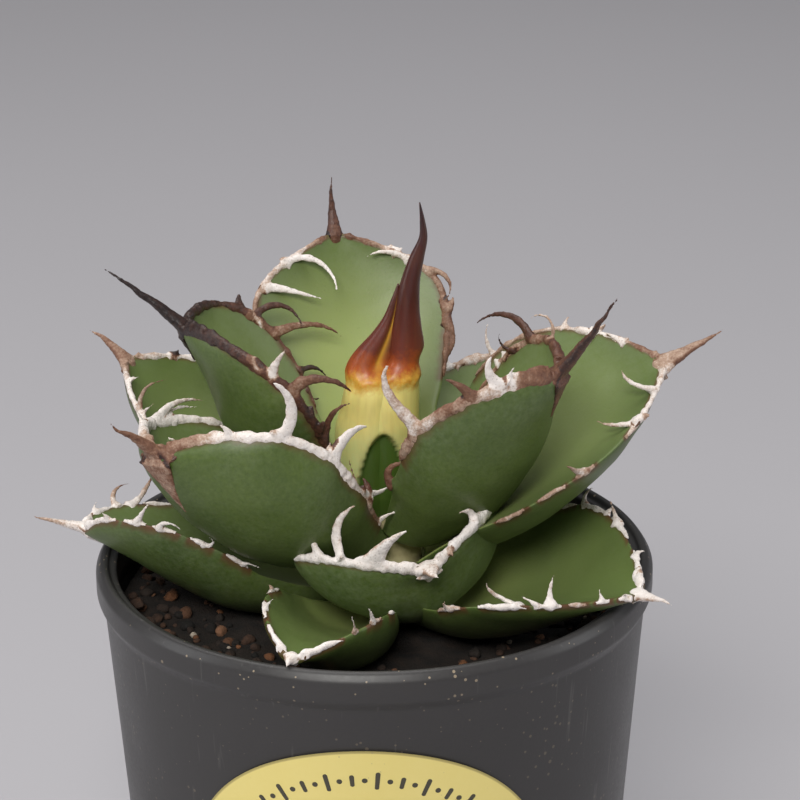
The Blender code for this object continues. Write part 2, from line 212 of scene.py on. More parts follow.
# Dust: small separate specks, thicker in some places than in others.
dust, given = effect_group("dust_specks", {"Scale": 900.0, "Amount": 0.3}, ("Mask",))
cells = add_node(dust, "ShaderNodeTexVoronoi", {"Vector": object_place(dust), "Scale": given["Scale"]})
patch = noise_value(dust, 60.0, 3.0)
reach = math_of(dust, "MULTIPLY", math_of(dust, "MULTIPLY", patch, patch), given["Amount"])
speck = math_of(dust, "LESS_THAN", cells.outputs["Distance"], reach)
finish_group(dust, {"Mask": speck})


def pot_material():
    made, tree, shader = new_material("black_plastic", IOR=1.47)
    surface = use_group(tree, grain, Fine=1400.0, Broad=45.0)
    place = object_place(tree)
    upright = add_node(tree, "ShaderNodeMapping", {"Vector": place, "Scale": (1.0, 1.0, 0.045)})
    scratch = noise_value(tree, 700.0, 2.0, 0.5, upright.outputs[0])
    scratched = spread(tree, scratch, 0.66, 0.72)
    specks = use_group(tree, dust, Scale=520.0, Amount=0.42)["Mask"]
    height = add_node(tree, "ShaderNodeSeparateXYZ", {0: place}).outputs[2]
    lip = spread(tree, height, (POT_HEIGHT - 9.0) * MM, (POT_HEIGHT - 0.5) * MM, 0.25, 1.0)
    plain = blended(tree, surface["Tone"], POT_BLACK, POT_GREY)
    worn = blended(tree, math_of(tree, "MULTIPLY", scratched, 0.35), plain, (0.11, 0.105, 0.10))
    dusty = blended(tree, math_of(tree, "MULTIPLY", specks, lip), worn, DUST_BEIGE)
    tree.links.new(dusty, shader["Base Color"])
    tree.links.new(spread(tree, surface["Tone"], 0.3, 0.7, 0.30, 0.46), shader["Roughness"])
    relief = math_of(tree, "ADD", surface["Height"], math_of(tree, "MULTIPLY", scratched, -0.6))
    tree.links.new(bump(tree, relief, 0.25, 0.05), shader["Normal"])
    return made


def mesh_piece(name, points, faces, material, smooth=True, **attributes):
    """An object from points in millimetres, with one value for each point in each attribute."""
    mesh = bpy.data.meshes.new(name)
    mesh.from_pydata((np.asarray(points, float) * MM).tolist(), [], faces)
    for label, values in attributes.items():
        layer = mesh.attributes.new(label, "FLOAT", "POINT")
        layer.data.foreach_set("value", np.asarray(values, np.float32))
    made = bmesh.new()
    made.from_mesh(mesh)
    bmesh.ops.recalc_face_normals(made, faces=made.faces)
    made.to_mesh(mesh)
    made.free()
    mesh.materials.append(material)
    if smooth:
        mesh.shade_smooth()
    obj = bpy.data.objects.new(name, mesh)
    bpy.context.scene.collection.objects.link(obj)
    return obj


def placed(obj, slot, *nodes):
    """The piece stands for its CAD nodes and rides with them. The slot is not used."""
    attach(obj, "root")
    if nodes:
        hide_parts(*nodes)
    return obj


def uneven(point, scale, amount):
    """Smooth noise at a point in millimetres, between -amount and +amount."""
    return amount * noise.noise(Vector(point) / scale)


def turned_piece(name, profile, steps, material, wave=0.0, sharp=35.0):
    """A turned solid from a closed profile of (radius, height), the wall standing in and out by wave."""
    points, faces = [], []
    inner = [k for k, (r, z) in enumerate(profile) if r > 0]
    for i in range(steps):
        a = 2 * math.pi * i / steps
        for k in inner:
            r, z = profile[k]
            shift = uneven((r * math.cos(a), r * math.sin(a), WAVE_UPRIGHT * z), WAVE_LENGTH, wave)
            points.append(((r + shift) * math.cos(a), (r + shift) * math.sin(a), z))
    count = len(inner)
    top, low = len(points), len(points) + 1
    points += [(0, 0, profile[0][1]), (0, 0, profile[-1][1])]
    for i in range(steps):
        here, there = i * count, (i + 1) % steps * count
        faces.append((top, here, there))
        faces.append((low, there + count - 1, here + count - 1))
        for k in range(count - 1):
            faces.append((here + k, here + k + 1, there + k + 1, there + k))
    obj = mesh_piece(name, points, faces, material)
    obj.data.set_sharp_from_angle(angle=math.radians(sharp))
    return obj


def rounded(profile, corner, cuts=4):
    """The profile with each inside corner rounded."""
    out = [profile[0]]
    for before, here, after in zip(profile, profile[1:], profile[2:]):
        here = np.array(here, float)
        back, on = np.array(before) - here, np.array(after) - here
        a = here + back * min(0.45, corner / np.linalg.norm(back))
        b = here + on * min(0.45, corner / np.linalg.norm(on))
        for i in range(cuts + 1):
            s = i / cuts
            out.append(tuple((1 - s) ** 2 * a + 2 * s * (1 - s) * here + s * s * b))
    return out + [profile[-1]]


def long_runs_cut(profile, longest):
    """The profile with points added along its long straight runs."""
    out = [profile[0]]
    for one, two in zip(profile, profile[1:]):
        parts = max(1, math.ceil(math.dist(one, two) / longest))
        for i in range(1, parts + 1):
            out.append(tuple(np.array(one) + (np.array(two) - np.array(one)) * i / parts))
    return out


mouth = RIM_RADIUS - LIP_WIDTH
band = POT_HEIGHT - RIM_BAND
pot_profile = [
    (0, FLOOR),
    (wall_radius(FLOOR) - WALL, FLOOR),
    (wall_radius(band - 3) - WALL, band - 3),
    (mouth, band + 1),
    (mouth, POT_HEIGHT - LIP_STEP - 0.4),
    (mouth + 0.4, POT_HEIGHT - LIP_STEP),
    (mouth + 1.4, POT_HEIGHT - LIP_STEP),
    (mouth + 1.7, POT_HEIGHT - 0.2),
    (mouth + 2.4, POT_HEIGHT),
    (RIM_RADIUS - 0.9, POT_HEIGHT - 0.3),
    (RIM_RADIUS, POT_HEIGHT - 1.7),
    (RIM_RADIUS, band + 1.5),
    (wall_radius(band - 1), band - 0.6),
    (wall_radius(1.2), 1.2),
    (wall_radius(0) - 1.2, 0),
    (0, 0),
]
pot_outline = long_runs_cut(rounded(pot_profile, 0.5), 5.0)
pot = turned_piece("nursery_pot", pot_outline, POT_STEPS, pot_material(), WALL_WAVE)
drills = []
for i in range(DRAIN_HOLES):
    a = 2 * math.pi * (i + 0.5) / DRAIN_HOLES
    at = (DRAIN_CIRCLE * MM * math.cos(a), DRAIN_CIRCLE * MM * math.sin(a), 0.5 * FLOOR * MM)
    size = {"radius": DRAIN_RADIUS * MM, "depth": 4 * FLOOR * MM}
    bpy.ops.mesh.primitive_cylinder_add(vertices=32, location=at, **size)
    drills.append(bpy.context.object)
    hole = pot.modifiers.new("drain_hole", "BOOLEAN")
    hole.object = drills[-1]
    hole.solver = "EXACT"


def finished(obj):
    """The object's mesh with its modifiers worked in."""
    bpy.context.view_layer.update()
    seen = obj.evaluated_get(bpy.context.evaluated_depsgraph_get())
    mesh = bpy.data.meshes.new_from_object(seen)
    obj.modifiers.clear()
    old, obj.data = obj.data, mesh
    bpy.data.meshes.remove(old)
    return obj


finished(pot)
for drill in drills:
    bpy.data.objects.remove(drill, do_unlink=True)
placed(pot, "pot_plastic", "pot")

# ---- Label --------------------------------------------------------------------------------------
# A round sticker of smooth yellow paper on the front of the wall. It has a thin darker edge, and a
# ring of plain printed bars and dots stands in for its print.
LABEL_RADIUS = 34.7
LABEL_HEIGHT = 44.8
LABEL_SHIFT = -1.6
LABEL_OFF = 0.3
LABEL_THICKNESS = 0.25
LABEL_YELLOW = (0.80, 0.66, 0.21)
LABEL_PALE = (0.84, 0.71, 0.27)
LABEL_EDGE = (0.33, 0.27, 0.10)
INK = (0.045, 0.04, 0.028)
MARKS = 84
MARK_CIRCLE = LABEL_RADIUS - 6.0
LABEL_STEPS = 180
LABEL_RINGS = (0.2, 0.4, 0.6, 0.75, 0.88, 0.94, 0.975, 0.985, 0.99, 0.996, 1.0)  # shares of the radius
MARK_RELIEF = 0.03
MARK_SUNK = 0.02


def on_wall(along, up, off):
    """A place on the wall: along it from the middle of the front, up it, and off it."""
    z = LABEL_HEIGHT + up * math.cos(math.atan(WALL_SLOPE))
    a = along / wall_radius(LABEL_HEIGHT)
    plain = wall_radius(z)
    spot = (plain * math.sin(a), -plain * math.cos(a), WAVE_UPRIGHT * z)
    r = plain + off + uneven(spot, WAVE_LENGTH, WALL_WAVE)
    return (r * math.sin(a), -r * math.cos(a), z)


def label_material():
    made, tree, shader = new_material("yellow_paper", IOR=1.45)
    surface = use_group(tree, grain, Fine=900.0, Broad=90.0)
    specks = use_group(tree, dust, Scale=500.0, Amount=0.25)["Mask"]
    plain = blended(tree, surface["Tone"], LABEL_YELLOW, LABEL_PALE)
    edge = spread(tree, attribute(tree, "reach"), 0.985, 0.993)
    edged = blended(tree, math_of(tree, "MULTIPLY", edge, 0.8), plain, LABEL_EDGE)
    dusty = blended(tree, math_of(tree, "MULTIPLY", specks, 0.3), edged, DUST_BEIGE)
    tree.links.new(dusty, shader["Base Color"])
    tree.links.new(spread(tree, surface["Tone"], 0.3, 0.7, 0.38, 0.50), shader["Roughness"])
    tree.links.new(bump(tree, surface["Height"], 0.15, 0.02), shader["Normal"])
    return made


def ink_material():
    made, tree, shader = new_material("label_ink")
    surface = use_group(tree, grain, Fine=2500.0, Broad=300.0)
    tree.links.new(blended(tree, surface["Tone"], INK, (0.085, 0.075, 0.05)), shader["Base Color"])
    tree.links.new(spread(tree, surface["Tone"], 0.3, 0.7, 0.45, 0.6), shader["Roughness"])
    return made


def label_mesh():
    """Rings of the label's face, then of its back, each closed by a fan in the middle."""
    points, faces, reach_values = [], [], []
    for off in (LABEL_OFF + LABEL_THICKNESS, LABEL_OFF):
        for share in LABEL_RINGS:
            for i in range(LABEL_STEPS):
                a = 2 * math.pi * i / LABEL_STEPS
                reach = LABEL_RADIUS * share
                points.append(on_wall(LABEL_SHIFT + reach * math.cos(a), reach * math.sin(a), off))
                reach_values.append(share)
    count = len(LABEL_RINGS)
    order = list(range(count)) + list(range(2 * count - 1, count - 1, -1))
    for one, two in zip(order, order[1:]):
        for i in range(LABEL_STEPS):
            k = (i + 1) % LABEL_STEPS
            low, high = one * LABEL_STEPS, two * LABEL_STEPS
            faces.append((low + i, high + i, high + k, low + k))
    for off, ring in ((LABEL_OFF + LABEL_THICKNESS, order[0]), (LABEL_OFF, order[-1])):
        points.append(on_wall(LABEL_SHIFT, 0.0, off))
        reach_values.append(0.0)
        low = ring * LABEL_STEPS
        faces += [(len(points) - 1, low + i, low + (i + 1) % LABEL_STEPS) for i in range(LABEL_STEPS)]
    return points, faces, reach_values


points, faces, reaches = label_mesh()
label = mesh_piece("paper_label", points, faces, label_material(), reach=reaches)
label.data.set_sharp_from_angle(angle=math.radians(50))
placed(label, "label_paper", "label")

points, faces = [], []
for i in range(MARKS):
    turn = 2 * math.pi * i / MARKS
    half_high = (1.8, 0.5, 1.2, 0.5)[i % 4]
    half_wide = 0.42 if i % 2 == 0 else 0.5
    corners = [(math.cos(b), math.sin(b)) for b in np.linspace(0, 2 * math.pi, 12, endpoint=False)]
    for off in (LABEL_OFF + LABEL_THICKNESS + MARK_RELIEF, LABEL_OFF + LABEL_THICKNESS - MARK_SUNK):
        for x, y in corners:
            side = half_wide * x
            out = MARK_CIRCLE + y * half_wide + math.copysign(half_high - half_wide, y)
            along = LABEL_SHIFT + out * math.cos(turn) - side * math.sin(turn)
            points.append(on_wall(along, out * math.sin(turn) + side * math.cos(turn), off))
    first = i * 2 * len(corners)
    count = len(corners)
    faces.append(tuple(range(first, first + count)))
    faces.append(tuple(range(first + count, first + 2 * count))[::-1])
    for k in range(count):
        j = (k + 1) % count
        faces.append((first + k, first + j, first + count + j, first + count + k))
marks = mesh_piece("label_marks", points, faces, ink_material(), smooth=False)
placed(marks, "label_paper")

# ---- Soil ---------------------------------------------------------------------------------------
# Gritty potting mix: dark peat and bark with crumbs of baked clay and pumice, filled to just under
# the lip, and hollowed a little round the plant. The peat is painted nearly black, as painted shade under the
# leaves.
SOIL_TOP = size_of("soil")[1][2]
SOIL_HOLLOW = 1.5
SOIL_GAP = 0.3
SOIL_RELIEF = 1.1
CRUMBS = 620
CRUMB_FLATS = 7
CRUMB_SIZES = (1.2, 1.6, 2.0, 2.6, 3.2)
SOIL_RINGS = 44
SOIL_STEPS = 150
# painted shade: both peat colours are nearly black, darker than peat itself, standing in for the shade under
# the leaves
PEAT_DARK_PAINTED_SHADE = (0.006, 0.0045, 0.0035)
PEAT_BROWN_PAINTED_SHADE = (0.020, 0.012, 0.008)
CLAY_ORANGE = (0.20, 0.080, 0.032)
CLAY_BROWN = (0.055, 0.028, 0.017)
PUMICE = (0.50, 0.42, 0.34)


def soil_material(name):
    made, tree, shader = new_material(name)
    surface = use_group(tree, grain, Fine=1800.0, Broad=260.0)
    kind = attribute(tree, "kind")
    body = stops(
        tree, kind,
        (0.0, PEAT_DARK_PAINTED_SHADE), (0.3, PEAT_BROWN_PAINTED_SHADE), (0.55, CLAY_BROWN), (0.8, CLAY_ORANGE), (1.0, PUMICE),
    )
    dark = blended(tree, spread(tree, surface["Tone"], 0.35, 0.6), (0.0, 0.0, 0.0), (1.0, 1.0, 1.0))
    shade = {0: 0.55, 6: body, 7: dark}
    mixed = add_node(tree, "ShaderNodeMix", shade, data_type="RGBA", blend_type="MULTIPLY")
    tree.links.new(mixed.outputs[2], shader["Base Color"])
    tree.links.new(spread(tree, surface["Height"], 0.3, 0.7, 0.8, 0.98), shader["Roughness"])
    tree.links.new(bump(tree, surface["Height"], 0.9, 0.35), shader["Normal"])
    return made


def crumb(chance, size, subdivisions):
    """Points and faces of one lump: a ball knocked flat on a few sides and pitted."""
    ball = bmesh.new()
    bmesh.ops.create_icosphere(ball, subdivisions=subdivisions, radius=1.0)
    cuts = []
    for _ in range(CRUMB_FLATS):
        direction = Vector([chance.gauss(0, 1) for _ in range(3)]).normalized()
        cuts.append((direction, chance.uniform(0.55, 0.85)))
    origin = Vector([chance.uniform(0, 100) for _ in range(3)])
    stretch = Vector((chance.uniform(0.8, 1.1), chance.uniform(0.7, 1.0), chance.uniform(0.6, 0.8)))
    points = []
    for vert in ball.verts:
        p = vert.co.copy()
        for direction, depth in cuts:
            over = p.dot(direction) - depth
            if over > 0:
                p -= direction * over * 0.85
        p *= 1 + 0.16 * noise.noise(p * 2.2 + origin) + 0.05 * noise.noise(p * 6 + origin)
        points.append(Vector((p.x * stretch.x, p.y * stretch.y, p.z * stretch.z)) * 0.5 * size)
    faces = [tuple(v.index for v in face.verts) for face in ball.faces]
    ball.free()
    spin = Matrix.Rotation(chance.uniform(0, 2 * math.pi), 3, "Z")
    return [spin @ p for p in points], faces


def soil_height(x, y):
    """Height of the soil's face."""
    reach = math.hypot(x, y)
    hollow = SOIL_HOLLOW * (1 - min(1.0, max(0.0, (reach - 0.6 * RIM_RADIUS) / (0.3 * RIM_RADIUS))))
    rough = uneven((x, y, 3.0), 5.0, SOIL_RELIEF) + uneven((x, y, 9.0), 1.7, 0.5)
    return SOIL_TOP - hollow - 0.4 + rough


def soil_mesh():
    """The turned body of soil, its face uneven, with loose crumbs pressed into it."""
    chance = random.Random(41)
    edge = mouth - SOIL_GAP - 0.4
    profile = [(edge * (i / SOIL_RINGS), None) for i in range(1, SOIL_RINGS + 1)]
    inside = WALL + SOIL_GAP
    profile += [(wall_radius(band - 6) - inside, band - 6), (wall_radius(FLOOR) - inside, FLOOR + SOIL_GAP)]
    points, faces, kinds = [], [], []
    for i in range(SOIL_STEPS):
        a = 2 * math.pi * i / SOIL_STEPS
        for r, z in profile:
            x, y = r * math.cos(a), r * math.sin(a)
            points.append((x, y, soil_height(x, y) if z is None else z))
            kinds.append(0.18 + uneven((x, y, 0), 2.2, 0.3))
    count = len(profile)
    points += [(0, 0, soil_height(0, 0)), (0, 0, FLOOR + SOIL_GAP)]
    kinds += [0.1, 0.1]
    for i in range(SOIL_STEPS):
        here, there = i * count, (i + 1) % SOIL_STEPS * count
        faces.append((len(points) - 2, here, there))
        faces.append((len(points) - 1, there + count - 1, here + count - 1))
        for k in range(count - 1):
            faces.append((here + k, here + k + 1, there + k + 1, there + k))
    for _ in range(CRUMBS):
        a, r = chance.uniform(0, 2 * math.pi), edge * math.sqrt(chance.uniform(0.35, 0.97))
        size = chance.choice(CRUMB_SIZES)
        r = min(r, edge - 0.5 * size)
        x, y = r * math.cos(a), r * math.sin(a)
        lump, sides = crumb(chance, size, 2)
        first = len(points)
        z = soil_height(x, y) + 0.12 * size
        points += [(p.x + x, p.y + y, p.z + z) for p in lump]
        faces += [tuple(first + v for v in side) for side in sides]
        kind = chance.choice((0.05, 0.2, 0.3, 0.35, 0.5, 0.55, 0.62, 0.8, 1.0 if size < 2 else 0.6))
        kinds += [min(1.0, kind + chance.uniform(-0.05, 0.05))] * len(lump)
    return points, faces, kinds


points, faces, kinds = soil_mesh()
soil = mesh_piece("potting_mix", points, faces, soil_material("potting_mix"), kind=kinds)
placed(soil, "soil", "soil")

# ---- Loose grains -------------------------------------------------------------------------------
# Coarse lumps of baked clay and pumice that lie loose on the soil beside the rim.
LUMP_FACTOR = 1.12  # a lump's flats take this much off its size
LUMP_KINDS = {2: 0.62, 3: 0.78, 4: 0.66, 5: 0.92, 6: 0.6, 7: 0.82, 10: 0.75, 12: 0.9}
lump_material = soil_material("clay_lumps")
for name in sorted(n for n in frame["nodes"] if n.startswith("grain_")):
    number = int(name[-2:])
    low, high = size_of(name)
    chance = random.Random(100 + number)
    lump, faces = crumb(chance, float(high[0] - low[0]) * LUMP_FACTOR, 4)
    lift = low[2] - min(p.z for p in lump)
    middle = 0.5 * (low + high)
    points = [(p.x + middle[0], p.y + middle[1], p.z + lift) for p in lump]
    kind = LUMP_KINDS.get(number, 0.5)
    shades = [kind + uneven(p, 1.1, 0.10) for p in points]
    lump_piece = mesh_piece(f"lump_{number:02d}", points, faces, lump_material, kind=shades)
    placed(lump_piece, "grain", name)

# ---- Stem ---------------------------------------------------------------------------------------
# The short stock that all leaves grow from: pale and scaly, ringed by the scars of lost leaves, and
# tapering to a root in the soil.
STEM_RADIUS = 7.0
ROOT_RADIUS = 2.5
ROOT_LENGTH = 45.0
STEM_SCARS = 25
PALE_BROWN = (0.30, 0.22, 0.10)
PALE_CREAM = (0.62, 0.58, 0.34)
PLANT_X = float(sum(size_of("stem")[i][0] for i in (0, 1)) / 2)
STEM_LOW, STEM_TOP = float(size_of("stem")[0][2]), float(size_of("stem")[1][2])


def stem_material():
    made, tree, shader = new_material("pale_stock")
    surface = use_group(tree, grain, Fine=900.0, Broad=200.0)
    tree.links.new(blended(tree, surface["Tone"], PALE_BROWN, PALE_CREAM), shader["Base Color"])
    tree.links.new(spread(tree, surface["Tone"], 0.3, 0.7, 0.5, 0.75), shader["Roughness"])
    tree.links.new(bump(tree, surface["Height"], 0.6, 0.2), shader["Normal"])
    return made


foot = STEM_LOW + ROOT_LENGTH
stem_profile = [(0, STEM_TOP), (STEM_RADIUS - 0.3, STEM_TOP)]
for i in range(STEM_SCARS):
    stem_profile.append((STEM_RADIUS - 0.25 * (i % 2), STEM_TOP - 0.2 - (STEM_TOP - foot) * i / STEM_SCARS))
stem_profile += [(STEM_RADIUS * 0.75, foot - 13), (ROOT_RADIUS, STEM_LOW + 1), (0, STEM_LOW)]
stem = turned_piece("stem_stock", long_runs_cut(stem_profile, 4.0), 64, stem_material(), 0.25, 80)
stem.data.transform(Matrix.Translation((PLANT_X * MM, 0, 0)))
placed(stem, "stem", "stem")

# ---- Leaves -------------------------------------------------------------------------------------
# Thick fleshy leaves in a spiral, each gutter-shaped above and keeled below, dark green with a grey
# waxy bloom outside and paler, yellower flesh towards the stem. Each one grows from the stem.
MARGIN = 1.3
LEAF_SEAT = 0.5
SPINE_ROOT = 2.2
BLADE_RINGS = 96
BLADE_STEPS = 40
WILD_TEETH = 7
GREEN_DARK = (0.046, 0.078, 0.014)
GREEN_MID = (0.100, 0.145, 0.030)
GREEN_INNER = (0.125, 0.175, 0.050)
# pale green painted into the middle of young upper faces: partly the young flesh's colour, partly a painted
# pool of light
GREEN_YOUNG_AND_PAINTED_LIGHT = (0.36, 0.42, 0.145)
GREEN_BASE = (0.40, 0.45, 0.14)
BLOOM = (0.25, 0.30, 0.185)
SCAR_BROWN = (0.115, 0.050, 0.022)


class Leaf(NamedTuple):
    """One leaf. Its midrib runs out and up from the stem, in the vertical plane that points at turn."""

    turn: float  # direction in plan, from +X towards +Y
    root: float  # height at the stem, above the pot's rim
    root_rise: float  # slope of the midrib at the root
    tip: tuple  # end of the blade: distance from the stem's axis, and height above the rim
    tip_rise: float
    width: float  # across the widest place, measured along the curve of the gutter
    widest: float  # where that is, as a share of the length
    fold: float  # half the angle that the gutter turns through at the widest place
    thick: float
    spine: float  # length of the thorn at the tip
    spine_rise: float  # slope at the thorn's point
    roll: float = 0.0  # twist about the midrib at the tip
    taper: float = 0.5  # how pointed the blade is: 0.5 is round, 1 is straight-sided
    cap: float = 2.0  # half the width of the horn cap where the spine begins
    # how pale and yellow the middle of the upper face is: partly young flesh, partly painted light
    young: float = 0.2  # how pale and yellow the flesh is
    bloom: float = 0.5  # how much grey wax is on it


LEAVES = {
    "leaf_01": Leaf(187, 8, 54, (36, 47.5), 45, 37, 0.66, 55, 8.0, 19, 35, 2, 0.5, 2.6, 0.25, 0.3),
    "leaf_02": Leaf(-32, 6, 60, (36.5, 44), 50, 37, 0.66, 65, 9.5, 20, 60, 7, 0.5, 3.6, 0.15, 0.4),
    "leaf_03": Leaf(105, 4, 64, (35.5, 51.5), 66, 38.5, 0.74, 32, 7.0, 12, 90, 3, 0.9, 1.5, 1.0, 0.2),
    "leaf_04": Leaf(-150, 2, 44, (46.5, 30.5), 49, 46.5, 0.59, 70, 9.0, 12, 30, 19, 0.42, 5.2, 0.15, 0.4),
    "leaf_05": Leaf(4, 0, 42, (52, 36.5), 30, 53, 0.50, 32, 8.0, 13, 34, 20, 0.88, 2.8, 0.45, 0.35),
    "leaf_06": Leaf(158, -2, 46, (52.5, 31.5), 49, 38, 0.61, 42, 7.0, 10, 20, -3, 0.8, 1.8, 0.35, 0.25),
    "leaf_07": Leaf(-74, -3, -4, (28.5, 9.5), 10, 45, 0.50, 50, 6.5, 6, 0, 13, 0.75, 3.2, 0.25, 0.6),
    "leaf_08": Leaf(48, -5, 42, (51, 23), 35, 40, 0.62, 42, 7.0, 7, 20, 0, 0.5, 2.0, 0.35, 0.25),
    "leaf_09": Leaf(
        183, -7, -4, (RIM_RADIUS + 3.5, 7.0), 16, 35.5, 0.60, 48, 5.5, 10, 15,
        20, 0.46, 1.9, 0.05, 0.35,
    ),
    "leaf_10": Leaf(
        -31, -9, 5, (RIM_RADIUS + 1.0, 3.9), 2, 44, 0.50, 47, 5.0, 7, -12,
        12, 0.85, 1.5, 0.2, 0.2,
    ),
    "leaf_11": Leaf(
        118, -9, 8, (RIM_RADIUS - 1.5, 4.0), 18, 34, 0.58, 42, 7.0, 8, 20,
        0, 0.5, 1.6, 0.1, 0.25,
    ),
    "leaf_12": Leaf(
        -109, -10, 4, (RIM_RADIUS - 2.5, 1.5), 6, 26, 0.60, 66, 6.0, 3, -20,
        -6, 0.75, 1.3, 0.2, 0.15,
    ),
}


def midrib(leaf, share):
    """Point and direction of the midrib at a share of the blade's length."""
    start = np.array([STEM_RADIUS + LEAF_SEAT, POT_HEIGHT + leaf.root])
    end = np.array([leaf.tip[0], POT_HEIGHT + leaf.tip[1]])
    reach = 0.4 * np.linalg.norm(end - start)
    lean0, lean1 = math.radians(leaf.root_rise), math.radians(leaf.tip_rise)
    one = start + reach * np.array([math.cos(lean0), math.sin(lean0)])
    two = end - reach * np.array([math.cos(lean1), math.sin(lean1)])
    rest = 1 - share
    r, z = rest**3 * start + 3 * share * rest**2 * one + 3 * share**2 * rest * two + share**3 * end
    dr, dz = rest**2 * (one - start) + 2 * share * rest * (two - one) + share**2 * (end - two)
    a = math.radians(leaf.turn)
    outward = np.array([math.cos(a), math.sin(a), 0.0])
    ahead = outward * dr + np.array([0, 0, dz])
    return outward * r + np.array([PLANT_X, 0, z]), ahead / np.linalg.norm(ahead)


def half_width(leaf, share):
    """Narrow at the stem, full past the middle, blunt at the tip."""
    if share < leaf.widest:
        full = 0.46 + 0.54 * math.sin(share / leaf.widest * math.pi / 2) ** 1.3
    else:
        full = (1 - ((share - leaf.widest) / (1 - leaf.widest)) ** 2.3) ** leaf.taper
    return max(0.5 * leaf.width * full, SPINE_ROOT)


def keel_depth(leaf, share):
    swell = math.sin(math.pi * share**0.8)
    return leaf.thick * (0.35 + 0.65 * swell) * (1 - 0.5 * share**6) + 0.6


class Place(NamedTuple):
    """A place on the gutter's face, with the directions out of the margin, on to the tip and off the face."""

    point: np.ndarray
    out: np.ndarray
    ahead: np.ndarray
    lift: np.ndarray


def gutter(leaf, share, across):
    """The place at a share of the length, and across the blade from -1 to 1."""
    middle, ahead = midrib(leaf, share)
    a = math.radians(leaf.turn)
    side = np.array([-math.sin(a), math.cos(a), 0.0])
    up = np.cross(ahead, side)
    b = math.radians(leaf.roll * share)
    side, up = math.cos(b) * side + math.sin(b) * up, math.cos(b) * up - math.sin(b) * side
    clasp = max(0.0, 1 - share / 0.35)
    turn = math.radians(leaf.fold * (0.75 + 0.25 * math.sin(math.pi * min(share, 0.9))) + 15 * clasp)
    radius = half_width(leaf, share) / turn
    c = across * turn
    point = middle + side * radius * math.sin(c) + up * (radius - radius * math.cos(c))
    out = (side * math.cos(c) + up * math.sin(c)) * (1 if across >= 0 else -1)
    return Place(point, out, ahead, up * math.cos(c) - side * math.sin(c))


class Margin:
    """The edge of a leaf on one side, with places given by their share of its length from the stem."""

    def __init__(self, leaf, side):
        self.leaf, self.side = leaf, side
        self.shares = 1 - (1 - np.linspace(0, 1, 260)) ** 2
        points = np.array([gutter(leaf, s, side).point for s in self.shares])
        steps = np.linalg.norm(np.diff(points, axis=0), axis=1)
        self.reach = np.concatenate([[0.0], np.cumsum(steps)])
        self.length = self.reach[-1]
        self.reach /= self.length

    def share(self, along):
        return float(np.interp(along, self.reach, self.shares))

    def at(self, along):
        place = gutter(self.leaf, self.share(along), self.side)
        return place._replace(point=place.point - place.lift * 0.5 * MARGIN)


class Tooth(NamedTuple):
    """A tooth of the margin: it starts straight out of the edge plus lean, and turns through curl."""

    along: float  # share of the edge's length, from the stem
    length: float
    lean: float  # towards the tip
    curl: float  # towards the tip, over its length
    rise: float  # off the face of the blade
    width: float
    stain: float  # 0 is white horn, 0.5 red-brown, 1 nearly black
    hook: float = 0.0  # more curl, most of it at the point
    tip_stain: float = -1.0


class Edge(NamedTuple):
    """Horn along one side of a leaf. Each run is a strip through (along, width, stain)."""

    runs: tuple
    teeth: tuple


def wild_edge(seed, stain, dashes=False):
    """An edge of teeth drawn from the seed, for the leaves at the back of the plant."""
    chance = random.Random(seed)
    teeth = []
    for i in range(WILD_TEETH):
        along = 0.38 + 0.56 * (i + chance.uniform(-0.25, 0.25)) / (WILD_TEETH - 1)
        length = chance.uniform(3.5, 8.0)
        lean, curl = chance.uniform(-35, 45), chance.choice((-1, 1)) * chance.uniform(50, 150)
        tint = min(0.9, stain + chance.uniform(-0.15, 0.3))
        rise, width = chance.uniform(0, 25), chance.uniform(1.2, 2.2)
        teeth.append(Tooth(along, length, lean, curl, rise, width, max(0.05, tint)))
    if dashes:
        dash = ((-0.045, 0.9), (0.0, 1.5), (0.05, 0.9))
        runs = tuple(tuple((t.along + shift, width, t.stain) for shift, width in dash) for t in teeth)
    else:
        runs = (((0.32, 0.9, stain), (0.5, 1.5, stain), (0.75, 1.6, stain + 0.1), (1.0, 1.8, stain + 0.15)),)
    return Edge(runs, tuple(teeth))


LEFT, RIGHT = 1, -1  # seen from the stem, looking along the leaf

